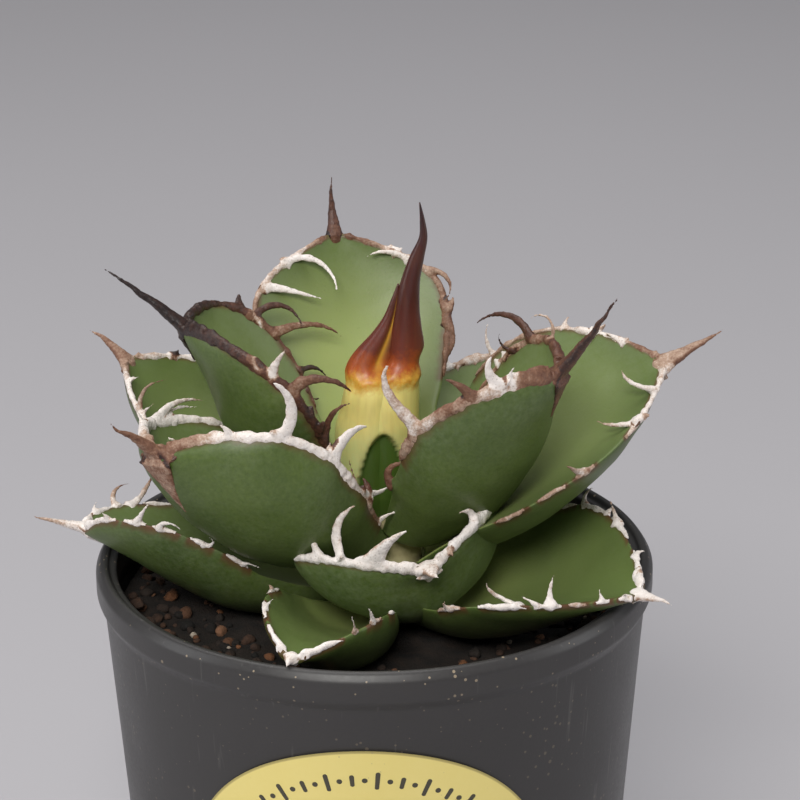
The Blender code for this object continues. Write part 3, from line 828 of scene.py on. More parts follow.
EDGES = {
    ("leaf_01", LEFT): Edge(
        (
            ((0.26, 1.0, 0.6), (0.36, 1.9, 0.72), (0.5, 2.3, 0.75), (0.6, 3.0, 0.62),
             (0.7, 3.4, 0.7), (0.78, 2.7, 0.8), (0.88, 3.0, 0.88), (1.0, 2.6, 0.93)),
        ),
        (
            Tooth(0.34, 12.3, 55, -10, 9, 2.0, 0.72, -58, 0.55),
            Tooth(0.42, 3.0, -10, 60, 0, 2.4, 0.7),
            Tooth(0.56, 14.0, 36, -165, 19, 2.8, 0.45, 20, 0.75),
            Tooth(0.64, 7.5, 46, -53, 7, 2.2, 0.15, 27),
            Tooth(0.68, 3.4, 85, -15, 0, 0.9, 0.3),
            Tooth(0.48, 2.2, 0, 50, 20, 2.2, 0.8),
        ),
    ),
    ("leaf_01", RIGHT): Edge(
        (
            ((0.28, 0.8, 0.7), (0.45, 1.2, 0.6), (0.6, 1.6, 0.6), (0.68, 2.2, 0.7),
             (0.8, 1.6, 0.78), (1.0, 2.4, 0.9)),
        ),
        (
            Tooth(0.70, 3.4, 40, -10, 0, 2.6, 0.78),
            Tooth(0.67, 4.4, -56, -80, 3, 1.4, 0.08),
            Tooth(0.64, 13.2, 13, -138, 15, 1.8, 0.72, -23),
            Tooth(0.56, 15.5, -20, -20, 10, 2.0, 0.42, -49, 0.6),
            Tooth(0.41, 7.4, -9, -61, 2, 1.5, 0.85, -41),
            Tooth(0.35, 4.8, -112, 120, 0, 0.9, 0.8),
        ),
    ),
    ("leaf_02", RIGHT): Edge(
        (
            ((0.36, 2.2, 0.42), (0.44, 3.2, 0.36), (0.51, 4.0, 0.36), (0.57, 2.6, 0.2), (0.65, 2.9, 0.46),
             (0.74, 3.3, 0.32), (0.83, 3.0, 0.2), (0.9, 3.7, 0.52), (1.0, 4.0, 0.58)),
        ),
        (
            Tooth(0.83, 8.0, 9, 45, 9, 2.6, 0.06, 40, 0.05),
            Tooth(0.86, 4.0, 40, 60, 10, 1.3, 0.06),
            Tooth(0.74, 7.0, 23, -17, 5, 2.6, 0.5, -25),
            Tooth(0.51, 15.6, 25, -75, 8, 3.2, 0.22, 140, 0.25),
            Tooth(0.23, 8.5, -5, 235, 6, 2.0, 0.6, -35, 0.4),
        ),
    ),
    ("leaf_02", LEFT): Edge(
        (
            ((0.4, 0.8, 0.5), (0.55, 1.2, 0.4), (0.65, 2.0, 0.4), (0.75, 2.2, 0.45),
             (0.86, 2.0, 0.65), (1.0, 3.2, 0.66)),
        ),
        (
            Tooth(0.70, 14.5, 27, -147, 17, 2.0, 0.68, 25, 0.75),
            Tooth(0.82, 10.3, 103, -265, 14, 1.1, 0.35, 50, 0.25),
            Tooth(0.63, 6.6, -68, 103, 30, 1.2, 0.8, 100),
            Tooth(0.67, 7.2, -46, -72, 8, 1.1, 0.35, -25),
            Tooth(0.58, 2.4, -30, 20, 0, 2.0, 0.06),
            Tooth(0.54, 2.4, -30, 20, 0, 2.0, 0.06),
        ),
    ),
    ("leaf_03", RIGHT): Edge(
        (
            ((0.40, 0.9, 0.5), (0.5, 1.2, 0.5), (0.6, 1.6, 0.5), (0.7, 1.5, 0.4), (0.8, 1.5, 0.22),
             (0.88, 1.4, 0.3), (0.95, 1.4, 0.5), (1.0, 1.6, 0.6)),
        ),
        (
            Tooth(0.79, 9.4, 136, 52, 26, 1.5, 0.12, 28),
            Tooth(0.73, 8.9, 10, -146, 3, 1.5, 0.38),
            Tooth(0.57, 10.0, -53, -117, 2, 1.8, 0.5, 8),
            Tooth(0.60, 3.4, 20, 60, 0, 2.4, 0.4),
            Tooth(0.85, 2.4, 0, 30, 0, 1.8, 0.08),
        ),
    ),
    ("leaf_03", LEFT): Edge(
        (
            ((0.36, 0.8, 0.5), (0.55, 1.0, 0.45), (0.68, 1.1, 0.4), (0.78, 1.4, 0.2),
             (0.9, 1.2, 0.22), (1.0, 1.5, 0.55)),
        ),
        (
            Tooth(0.83, 15.4, 140, 187, 30, 1.8, 0.08, -8, 0.04),
            Tooth(0.73, 11.6, -174, 50, 28, 1.9, 0.08, -37, 0.04),
        ),
    ),
    ("leaf_04", LEFT): Edge(
        (
            ((0.10, 0.8, 0.5), (0.24, 1.8, 0.3), (0.4, 2.2, 0.12), (0.5, 2.4, 0.08), (0.6, 2.0, 0.1),
             (0.74, 2.2, 0.1), (0.85, 2.4, 0.2), (0.93, 2.6, 0.45), (1.0, 2.6, 0.5)),
        ),
        (
            Tooth(0.80, 3.6, 53, 69, 2, 1.6, 0.08, -12),
            Tooth(0.66, 14.5, -9, 136, -3, 3.2, 0.05, -34, 0.08),
            Tooth(0.47, 11.5, -8, -45, 24, 3.2, 0.05, -40, 0.08),
            Tooth(0.43, 6.5, 95, -120, 15, 1.6, 0.05, 0, 0.3),
            Tooth(0.28, 9.4, 50, 0, 6, 0.8, 0.35, 0, 0.6),
            Tooth(0.29, 10.2, -88, -16, 26, 2.2, 0.06, 70, 0.1),
            Tooth(0.24, 5.0, -20, 110, 30, 2.6, 0.62),
            Tooth(0.11, 9.8, 16, -122, -3, 0.9, 0.15, -40),
        ),
    ),
    ("leaf_04", RIGHT): Edge(
        (
            ((0.32, 0.9, 0.25), (0.5, 1.5, 0.15), (0.63, 2.4, 0.06), (0.75, 2.8, 0.05),
             (0.86, 2.4, 0.1), (1.0, 2.4, 0.45)),
        ),
        (
            Tooth(0.71, 14.5, -15, -59, 10, 1.9, 0.06, -2, 0.3),
            Tooth(0.66, 10.4, -6, -132, 3, 1.2, 0.08, 73),
            Tooth(0.80, 4.0, 30, 40, 0, 1.6, 0.08),
        ),
    ),
    ("leaf_05", RIGHT): Edge(
        (
            ((0.30, 0.7, 0.35), (0.34, 1.2, 0.3), (0.39, 0.7, 0.35)),
            ((0.43, 0.7, 0.35), (0.47, 1.0, 0.3), (0.51, 0.7, 0.3)),
            ((0.54, 0.9, 0.4), (0.57, 1.8, 0.3), (0.60, 1.2, 0.3)),
            ((0.72, 0.9, 0.35), (0.79, 1.5, 0.15), (0.86, 1.7, 0.15), (0.93, 1.8, 0.15), (1.0, 2.8, 0.28)),
        ),
        (
            Tooth(0.91, 8.6, -36, -171, 50, 1.8, 0.08, -4, 0.25),
            Tooth(0.80, 3.0, -30, 20, 12, 2.8, 0.04),
            Tooth(0.78, 8.2, -85, -66, 26, 1.7, 0.08, -6, 0.45),
            Tooth(0.57, 7.1, -37, 110, 30, 1.6, 0.2, -85, 0.45),
        ),
    ),
    ("leaf_05", LEFT): Edge(
        (
            ((0.4, 0.8, 0.4), (0.55, 1.0, 0.35), (0.7, 1.0, 0.25), (0.8, 1.6, 0.1),
             (0.88, 1.5, 0.3), (0.94, 1.4, 0.5), (1.0, 2.6, 0.4)),
        ),
        (
            Tooth(0.89, 4.8, -32, 32, 0, 1.4, 0.12, -44),
            Tooth(0.80, 2.2, -20, 30, 0, 3.0, 0.04),
            Tooth(0.70, 3.0, 20, 60, 0, 1.4, 0.2),
        ),
    ),
    ("leaf_06", LEFT): Edge(
        (
            ((0.48, 0.8, 0.3), (0.62, 1.2, 0.2), (0.76, 1.5, 0.1), (0.88, 1.4, 0.1), (1.0, 1.8, 0.35)),
        ),
        (
            Tooth(0.92, 4.5, -15, 0, 30, 1.0, 0.1),
            Tooth(0.77, 12.5, 50, -118, 38, 1.2, 0.3, 20, 0.5),
            Tooth(0.76, 5.8, -12, 16, 32, 0.9, 0.15, -16),
            Tooth(0.64, 5.0, -10, -60, 10, 1.4, 0.12),
        ),
    ),
    ("leaf_06", RIGHT): Edge(
        (
            ((0.4, 0.8, 0.3), (0.6, 1.2, 0.15), (0.8, 1.5, 0.08), (1.0, 1.8, 0.3)),
        ),
        (
            Tooth(0.87, 2.4, 5, 5, 0, 1.6, 0.9),
            Tooth(0.72, 4.2, 10, -90, 0, 1.5, 0.2),
            Tooth(0.58, 4.5, -10, -90, 5, 1.5, 0.3),
        ),
    ),
    ("leaf_07", RIGHT): Edge(
        (
            ((0.38, 1.2, 0.1), (0.45, 1.8, 0.08), (0.56, 2.2, 0.05), (0.68, 2.0, 0.04),
             (0.8, 2.4, 0.05), (0.9, 2.6, 0.08), (1.0, 3.0, 0.15)),
        ),
        (
            Tooth(0.42, 3.2, 2, 84, 20, 1.6, 0.08, -56),
            Tooth(0.56, 8.8, 13, -29, 39, 2.4, 0.05, -48, 0.3),
            Tooth(0.67, 12.7, -25, 186, 48, 2.8, 0.04, -20, 0.25),
            Tooth(0.80, 10.6, 75, 44, 48, 3.8, 0.04, 34, 0.1),
        ),
    ),
    ("leaf_07", LEFT): Edge(
        (
            ((0.24, 1.0, 0.12), (0.29, 2.4, 0.06), (0.34, 1.4, 0.1)),
            ((0.52, 1.5, 0.05), (0.62, 3.4, 0.04), (0.76, 3.4, 0.04), (0.83, 2.0, 0.05),
             (0.92, 2.2, 0.06), (1.0, 3.0, 0.15)),
        ),
        (
            Tooth(0.74, 6.0, -4, 240, 46, 2.2, 0.04, -58, 0.25),
            Tooth(0.64, 5.1, -22, -84, 17, 1.2, 0.05, -35),
            Tooth(0.30, 11.0, 71, -121, 21, 3.0, 0.05, 8, 0.3),
            Tooth(0.92, 2.6, 110, 0, -10, 1.0, 0.3),
        ),
    ),
    ("leaf_08", LEFT): wild_edge(8, 0.15),
    ("leaf_08", RIGHT): wild_edge(18, 0.25),
    ("leaf_09", LEFT): Edge(
        (
            ((0.36, 0.6, 0.15), (0.40, 1.0, 0.1), (0.45, 0.7, 0.15)),
            ((0.50, 0.8, 0.12), (0.54, 1.4, 0.08), (0.575, 0.8, 0.12)),
            ((0.62, 0.8, 0.12), (0.66, 1.4, 0.08), (0.70, 0.9, 0.12)),
            ((0.72, 0.9, 0.12), (0.76, 1.3, 0.08), (0.80, 0.9, 0.12)),
            ((0.83, 0.9, 0.2), (0.9, 1.3, 0.1), (1.0, 2.2, 0.06)),
        ),
        (
            Tooth(0.75, 6.9, 4, -21, 8, 1.4, 0.06),
            Tooth(0.67, 6.6, 30, -203, -4, 1.3, 0.05, 26),
            Tooth(0.53, 4.7, -91, 191, 0, 1.2, 0.05),
            Tooth(0.39, 4.3, -41, -76, -4, 0.9, 0.08, 13),
            Tooth(0.86, 2.6, 30, 30, 5, 1.2, 0.1),
        ),
    ),
    ("leaf_09", RIGHT): Edge(
        (
            ((0.45, 0.7, 0.2), (0.5, 1.0, 0.15), (0.55, 0.7, 0.2)),
            ((0.58, 0.8, 0.15), (0.64, 1.2, 0.1), (0.70, 0.8, 0.15)),
            ((0.73, 0.8, 0.15), (0.85, 1.3, 0.08), (1.0, 2.2, 0.06)),
        ),
        (
            Tooth(0.79, 8.2, 53, -152, 5, 1.4, 0.2, 34, 0.6),
            Tooth(0.75, 10.6, -42, 84, 8, 1.7, 0.1, -59, 0.6),
            Tooth(0.58, 5.0, -4, 45, 2, 1.2, 0.3, -17, 0.6),
            Tooth(0.90, 3.6, 34, -79, 4, 1.1, 0.12, 21),
            Tooth(0.96, 2.0, -10, 45, 4, 1.0, 0.12, -48),
        ),
    ),
    ("leaf_10", RIGHT): Edge(
        (
            ((0.34, 0.8, 0.3), (0.39, 1.4, 0.2), (0.44, 1.0, 0.3)),
            ((0.50, 1.0, 0.12), (0.55, 1.6, 0.05), (0.60, 1.8, 0.04), (0.65, 1.6, 0.05)),
            ((0.68, 1.2, 0.06), (0.725, 2.2, 0.04), (0.76, 1.6, 0.06)),
            ((0.78, 1.2, 0.3), (0.81, 1.6, 0.28), (0.84, 1.2, 0.3)),
            ((0.87, 0.9, 0.1), (0.895, 1.3, 0.05), (0.92, 0.8, 0.1)),
            ((0.95, 1.0, 0.08), (0.975, 1.4, 0.05), (1.0, 2.2, 0.05)),
        ),
        (
            Tooth(0.40, 3.6, -42, 150, 9, 1.1, 0.25, -37),
            Tooth(0.63, 9.2, -104, 88, 23, 1.9, 0.05, 51, 0.3),
            Tooth(0.72, 6.0, -1, 58, 66, 1.5, 0.05, 27, 0.25),
            Tooth(0.68, 3.8, -2, -104, 24, 1.3, 0.06, 10),
            Tooth(0.89, 2.8, -6, -18, 54, 0.9, 0.08, 8),
            Tooth(0.99, 3.4, -40, 120, 10, 1.2, 0.05),
        ),
    ),
    ("leaf_10", LEFT): Edge(
        (
            ((0.42, 0.8, 0.2), (0.47, 1.2, 0.12), (0.51, 0.8, 0.2)),
            ((0.54, 0.8, 0.15), (0.60, 1.3, 0.08), (0.66, 0.8, 0.12)),
            ((0.68, 0.9, 0.1), (0.74, 1.4, 0.06), (0.80, 0.8, 0.1)),
            ((0.85, 0.9, 0.1), (0.92, 1.4, 0.05), (1.0, 2.2, 0.05)),
        ),
        (
            Tooth(0.72, 5.8, -16, -42, 2, 1.5, 0.12, 34, 0.35),
            Tooth(0.55, 4.8, -30, 103, 5, 1.3, 0.15, 25),
            Tooth(0.88, 3.0, 0, 120, 10, 1.3, 0.05),
            Tooth(0.97, 3.8, -77, 149, 4, 1.2, 0.05, 39),
            Tooth(0.65, 2.6, 10, 80, 0, 1.1, 0.12),
        ),
    ),
    ("leaf_11", LEFT): wild_edge(11, 0.2, dashes=True),
    ("leaf_11", RIGHT): wild_edge(21, 0.2, dashes=True),
    ("leaf_12", RIGHT): Edge(
        (
            ((0.5, 0.6, 0.2), (0.56, 1.0, 0.12), (0.62, 0.6, 0.2)),
            ((0.70, 0.7, 0.12), (0.76, 1.0, 0.06), (0.82, 0.7, 0.1)),
            ((0.86, 0.8, 0.1), (0.92, 1.2, 0.05), (1.0, 2.0, 0.05)),
        ),
        (
            Tooth(0.76, 4.4, -59, -23, 11, 1.0, 0.08, -9),
            Tooth(0.56, 2.6, 20, 60, 0, 0.9, 0.2),
        ),
    ),
    ("leaf_12", LEFT): Edge(
        (
            ((0.46, 0.6, 0.2), (0.50, 1.2, 0.1), (0.54, 0.6, 0.2)),
            ((0.62, 0.6, 0.3), (0.66, 1.0, 0.2), (0.70, 0.6, 0.3)),
            ((0.84, 0.8, 0.1), (0.90, 1.3, 0.05), (1.0, 2.0, 0.05)),
        ),
        (
            Tooth(0.77, 5.4, 51, -17, 23, 0.9, 0.3, 18, 0.15),
            Tooth(0.67, 5.8, 44, 20, 20, 1.1, 0.12, 9),
        ),
    ),
}


def shape_blade(name, leaf):
    """Points, faces and surface values of the blade's closed skin."""
    margins = {side: Margin(leaf, side) for side in (LEFT, RIGHT)}
    seed = 7.3 * int(name[-2:])
    ring_count = 2 * BLADE_STEPS
    columns = []
    for k in range(ring_count):
        below = k >= BLADE_STEPS
        x = -1 + 2 * (k % BLADE_STEPS) / BLADE_STEPS
        columns.append((math.sin(x * math.pi / 2) * (-1 if below else 1), below))
    points, along_values, inner_values, pale_middle_and_painted_light_values, scar_values = [], [], [], [], []
    for i in range(BLADE_RINGS + 1):
        reach = i / BLADE_RINGS
        share = 0.5 * (margins[LEFT].share(reach) + margins[RIGHT].share(reach))
        depth = keel_depth(leaf, share)
        half = half_width(leaf, share)
        teats, scars = {}, {}
        for side in (LEFT, RIGHT):
            edge = EDGES[name, side]
            grown = 0.0
            for tooth in edge.teeth:
                grown += 0.35 * min(tooth.width, 2.4) * math.exp(-(((reach - tooth.along) / 0.028) ** 2))
            bays = noise.noise(Vector((reach * 14, seed, side * 5)))
            teats[side] = grown + 0.45 * bays * min(1.0, reach * 3)
            edged = any(run[0][0] - 0.01 < reach < run[-1][0] + 0.01 for run in edge.runs)
            scars[side] = 1.0 if edged else 0.0
        for across, below in columns:
            place = gutter(leaf, share, across)
            side = LEFT if across >= 0 else RIGHT
            closing = math.sqrt(max(0.0, 1 - abs(across) ** 9))
            fall = 0.5 * MARGIN * (1 - closing)
            if below:
                fall = 0.5 * MARGIN * (1 + closing) + (depth - MARGIN) * (1 - abs(across) ** 1.7)
            point = place.point - place.lift * fall + place.out * teats[side] * abs(across) ** 7
            ease = (1 - abs(across) ** 8) * min(1.0, 4 * reach)
            swell = uneven(point + seed, 11.0, 0.45) + uneven(point - seed, 4.0, 0.12)
            point = point + place.lift * swell * ease
            points.append(point)
            along_values.append(reach)
            inner_values.append(0.0 if below else 1.0)
            # the pale middle of the upper face, fading towards the edges and the stem: partly young flesh,
            # partly a painted pool of light
            middle = math.exp(-(((reach - 0.42) / 0.30) ** 2)) * (1 - across * across)
            pale_middle_and_painted_light_values.append(0.0 if below else middle)
            from_edge = (1 - abs(across)) * half
            jag = 0.5 + 0.5 * noise.noise(Vector((reach * 60, seed + side, 0.0)))
            scar_values.append(scars[side] * max(0.0, 1 - from_edge / (0.9 + 1.1 * jag)) ** 0.7)
    faces = []
    for i in range(BLADE_RINGS):
        low, high = i * ring_count, (i + 1) * ring_count
        for k in range(ring_count):
            j = (k + 1) % ring_count
            faces.append((low + k, low + j, high + j, high + k))
    faces.append(tuple(range(ring_count))[::-1])
    faces.append(tuple(range(BLADE_RINGS * ring_count, (BLADE_RINGS + 1) * ring_count)))
    return points, faces, along_values, inner_values, pale_middle_and_painted_light_values, scar_values


def leaf_material():
    """Green flesh. The skin's values for place, side and age, which each leaf carries, set its colour. The
    pale middle of young upper faces is partly young flesh and partly a painted pool of light.
    """
    glassy = {"IOR": 1.45, "Subsurface_Weight": 0.06, "Subsurface_Scale": 0.002}
    made, tree, shader = new_material("agave_flesh", **glassy)
    shader["Subsurface Radius"].default_value = (0.4, 1.0, 0.2)
    surface = use_group(tree, grain, Fine=1700.0, Broad=70.0)
    place = object_place(tree)
    along, inner, young = attribute(tree, "along"), attribute(tree, "inner"), attribute(tree, "young")
    pale_middle_and_painted_light = attribute(tree, "pale_middle_and_painted_light")
    green = blended(tree, spread(tree, surface["Tone"], 0.32, 0.68), GREEN_DARK, GREEN_MID)
    inside = blended(tree, math_of(tree, "MULTIPLY", inner, 0.75), green, GREEN_INNER)
    # painted light, in part: young upper faces are paled in their middle
    paleness_and_painted_light = math_of(tree, "MULTIPLY", math_of(tree, "MULTIPLY", young, pale_middle_and_painted_light), 0.9)
    pale = blended(tree, paleness_and_painted_light, inside, GREEN_YOUNG_AND_PAINTED_LIGHT)
    low = spread(tree, along, 0.42, 0.10)
    rootedness = math_of(tree, "MULTIPLY", low, spread(tree, inner, 0, 1, 0.05, 0.45))
    rooted = blended(tree, rootedness, pale, GREEN_BASE)
    cloud = spread(tree, noise_value(tree, 38.0, 3.0, 0.5, place), 0.25, 0.85)
    rubbed = spread(tree, noise_value(tree, 900.0, 3.0, 0.6, place), 0.25, 0.72)
    wax = math_of(tree, "MULTIPLY", math_of(tree, "MULTIPLY", cloud, rubbed), attribute(tree, "bloom"))
    waxed = blended(tree, wax, rooted, BLOOM)
    freckle = use_group(tree, dust, Scale=1100.0, Amount=0.38)["Mask"]
    freckled = blended(tree, math_of(tree, "MULTIPLY", freckle, 0.22), waxed, (0.03, 0.045, 0.012))
    scarred = blended(tree, attribute(tree, "scar"), freckled, SCAR_BROWN)
    tree.links.new(scarred, shader["Base Color"])
    tree.links.new(spread(tree, wax, 0.0, 0.5, 0.40, 0.62), shader["Roughness"])
    tree.links.new(bump(tree, surface["Height"], 0.30, 0.10), shader["Normal"])
    return made


flesh = leaf_material()
for name, leaf in LEAVES.items():
    points, faces, along, inner, pale_middle_and_painted_light, scar = shape_blade(name, leaf)
    count = len(points)
    values = {"along": along, "inner": inner, "pale_middle_and_painted_light": pale_middle_and_painted_light, "scar": scar}
    values.update(young=[leaf.young] * count, bloom=[leaf.bloom] * count)
    blade = mesh_piece(f"{name}_blade", points, faces, flesh, **values)
    placed(blade, "leaf", name)

# ---- Horn ---------------------------------------------------------------------------------------
# The hard rim of each leaf: a corky strip along the margin, hooked teeth that grow out of it, and
# the end spine, whose foot runs down the keel. White where old and dry, red-brown to black where
# the horn is dense. It is one with the leaf it edges.
VOXEL = 0.26
HORN_STEPS = 12
SPINE_STEPS = 26
EDGE_BROWN = 1.1  # how much browner the horn is at the edge of a strand
KEEL_RUN = 0.042  # share of the blade that the spine's foot covers, for each millimetre of its cap
KEEL_END = 0.99
CAP_STATIONS = ((0.965, 0.45), (0.974, 0.75), (0.983, 0.95), (0.99, 1.0), (0.996, 1.0))
SPINE_STAINS = {
    "leaf_01": (0.90, 0.98), "leaf_02": (0.62, 0.80), "leaf_03": (0.62, 0.80), "leaf_04": (0.42, 0.55),
    "leaf_05": (0.33, 0.45), "leaf_06": (0.42, 0.40), "leaf_07": (0.15, 0.2), "leaf_08": (0.5, 0.7),
    "leaf_09": (0.06, 0.35), "leaf_10": (0.05, 0.15), "leaf_11": (0.3, 0.5), "leaf_12": (0.08, 0.2),
}


class Strand(NamedTuple):
    """A bar of horn: centres, the direction of its width, half width, half thickness and stain at each."""

    centres: list
    wide_ways: list
    wides: list
    flats: list
    stains: list


def add_tube(strand, points, faces):
    """Adds a strand's closed tube to the points and faces."""
    centres = np.array(strand.centres)
    ways = np.gradient(centres, axis=0)
    first = len(points)
    for k, centre in enumerate(centres):
        on = ways[k] / (np.linalg.norm(ways[k]) + 1e-9)
        wide = strand.wide_ways[k] - on * (strand.wide_ways[k] @ on)
        wide = wide / (np.linalg.norm(wide) + 1e-9)
        flat = np.cross(on, wide)
        for i in range(HORN_STEPS):
            a = 2 * math.pi * i / HORN_STEPS
            spot = centre + wide * strand.wides[k] * math.cos(a)
            points.append(spot + flat * strand.flats[k] * math.sin(a))
    for k in range(len(centres) - 1):
        low, high = first + k * HORN_STEPS, first + (k + 1) * HORN_STEPS
        for i in range(HORN_STEPS):
            j = (i + 1) % HORN_STEPS
            faces.append((low + i, low + j, high + j, high + i))
    faces.append(tuple(range(first, first + HORN_STEPS))[::-1])
    faces.append(tuple(range(len(points) - HORN_STEPS, len(points))))


def rim_strand(margin, run, seed):
    """A strip of the margin through (along, width, stain), lumpy like cork."""
    start, end = run[0][0], run[-1][0]
    count = max(8, int((end - start) * margin.length / 0.45))
    alongs = np.linspace(start, end, count)
    widths = np.interp(alongs, [r[0] for r in run], [r[1] for r in run])
    stains = np.interp(alongs, [r[0] for r in run], [r[2] for r in run])
    centres, ways, wides, flats = [], [], [], []
    for k, along in enumerate(alongs):
        place = margin.at(along)
        lump = noise.noise(Vector((along * margin.length / 2.3, seed, 0.0)))
        fine_lump = noise.noise(Vector((along * margin.length / 0.9, seed, 4.0)))
        swell = 1 + 0.45 * lump + 0.22 * fine_lump
        end_taper = min(1.0, (k + 0.4) / 4, (count - k - 0.6) / 4 if end < 0.999 else 1.0)
        half = 0.5 * widths[k] * swell * max(0.35, end_taper)
        centres.append(place.point + place.out * (0.25 - 0.35 * half) + place.lift * 0.25 * lump)
        ways.append(place.out)
        wides.append(half)
        flats.append(max(0.42, min(0.5 * MARGIN + 0.32, 0.75 * half)) * (1 + 0.15 * fine_lump))
    return Strand(centres, ways, wides, flats, stains)


def tooth_strand(margin, tooth):
    """A tooth: flat and broad at its foot, curling as it narrows to a point."""
    place = margin.at(tooth.along)
    count = max(10, int(tooth.length / 0.4))
    rise = math.radians(tooth.rise)
    centre = place.point - place.out * 0.3
    centres, ways, wides, flats, stains = [], [], [], [], []
    tip_stain = tooth.tip_stain if tooth.tip_stain >= 0 else tooth.stain + 0.08
    for k in range(count + 1):
        s = k / count
        turn = math.radians(tooth.lean + tooth.curl * s + tooth.hook * s * s)
        level = place.out * math.cos(turn) + place.ahead * math.sin(turn)
        on = level * math.cos(rise) + place.lift * math.sin(rise)
        across = place.ahead * math.cos(turn) - place.out * math.sin(turn)
        flare = 0.75 * math.exp(-((s * tooth.length / 1.1) ** 2))
        half = 0.5 * tooth.width * ((1 - s) ** 0.85 * 0.9 + 0.14 + flare)
        lump = noise.noise(Vector((s * tooth.length / 1.4, tooth.along * 90, tooth.length)))
        half *= 1 + 0.22 * lump * (1 - s)
        centres.append(centre + place.lift * 0.12 * lump)
        ways.append(across)
        wides.append(half)
        flats.append(max(0.15, min(0.62 * half, 0.8)))
        stains.append(tooth.stain + (tip_stain - tooth.stain) * s**1.5)
        centre = centre + on * tooth.length / count
    return Strand(centres, ways, wides, flats, stains)


def spine_strands(name, leaf):
    """The end spine with its cap on the blade's tip, and the foot that runs down the keel."""
    foot_stain, tip_stain = SPINE_STAINS[name]
    seed = 3.1 * int(name[-2:])
    centres, ways, wides, flats, stains = [], [], [], [], []
    for share, full in CAP_STATIONS:
        place = gutter(leaf, share, 0.0)
        depth = keel_depth(leaf, share)
        bowl = gutter(leaf, share, 1.0).point @ place.lift - place.point @ place.lift
        half = min(0.80 * half_width(leaf, share) + 0.25, leaf.cap * full)
        bowl *= (half / half_width(leaf, share)) ** 2
        centres.append(place.point + place.lift * (0.4 * bowl - 0.5 * depth))
        ways.append(gutter(leaf, share, 0.001).out)
        wides.append(half)
        flats.append((0.5 * depth + 0.25) * full + 0.40 * bowl)
        stains.append(foot_stain)
    start = gutter(leaf, 1.0, 0.0)
    depth = keel_depth(leaf, 1.0)
    centre = start.point - start.lift * 0.3 * depth
    a, b = math.radians(leaf.turn), math.radians(leaf.spine_rise)
    bend = np.array([math.cos(a) * math.cos(b), math.sin(a) * math.cos(b), math.sin(b)])
    side = start.out
    for k in range(SPINE_STEPS + 1):
        s = k / SPINE_STEPS
        path = start.ahead * leaf.spine * (s - 0.5 * s * s) + bend * leaf.spine * 0.5 * s * s
        sway = side * noise.noise(Vector((s * leaf.spine / 3.2, seed, 0))) * 0.75 * s
        sway = sway + start.lift * noise.noise(Vector((s * leaf.spine / 3.0, seed, 9))) * 0.6 * s
        slim = 0.88 * (1 - s) ** 1.25 + 0.055
        centres.append(centre + path + sway)
        ways.append(side)
        wides.append(min(SPINE_ROOT, leaf.cap) * slim + 0.25 * leaf.cap * math.exp(-s * 9))
        flats.append((0.42 * depth + 0.5) * slim + 0.08)
        stains.append(foot_stain + (tip_stain - foot_stain) * s)
    strands = [Strand(centres, ways, wides, flats, stains)]
    centres, ways, wides, flats, stains = [], [], [], [], []
    keel_start = 1 - KEEL_RUN * leaf.cap
    for share in np.linspace(keel_start, KEEL_END, 16):
        place = gutter(leaf, share, 0.0)
        grow = (share - keel_start) / (KEEL_END - keel_start)
        centres.append(place.point - place.lift * (keel_depth(leaf, share) - 0.15))
        ways.append(gutter(leaf, share, 0.001).out)
        wides.append(0.35 + 0.8 * leaf.cap * grow**1.4)
        flats.append(0.4 + 0.3 * grow)
        stains.append(foot_stain)
    strands.append(Strand(centres, ways, wides, flats, stains))
    return strands


def horn_material():
    """Horn from dry white to near black, set by its stain: streaked and pitted."""
    made, tree, shader = new_material("agave_horn", IOR=1.5)
    surface = use_group(tree, grain, Fine=2600.0, Broad=650.0)
    wander = math_of(tree, "MULTIPLY", math_of(tree, "SUBTRACT", surface["Tone"], 0.5), 0.62)
    stain = math_of(tree, "ADD", attribute(tree, "stain"), wander)
    body = stops(
        tree, stain,
        (0.0, (0.88, 0.82, 0.79)), (0.16, (0.78, 0.70, 0.65)), (0.30, (0.46, 0.32, 0.24)),
        (0.48, (0.215, 0.105, 0.062)), (0.66, (0.105, 0.040, 0.024)), (0.84, (0.042, 0.018, 0.013)),
        (1.0, (0.016, 0.009, 0.009)),
    )
    pits = use_group(tree, dust, Scale=1500.0, Amount=0.75)["Mask"]
    pitted = blended(tree, math_of(tree, "MULTIPLY", pits, 0.30), body, (0.16, 0.11, 0.08))
    tree.links.new(pitted, shader["Base Color"])
    tree.links.new(spread(tree, stain, 0.15, 0.8, 0.78, 0.40), shader["Roughness"])
    tree.links.new(bump(tree, surface["Height"], 0.8, 0.16), shader["Normal"])
    return made


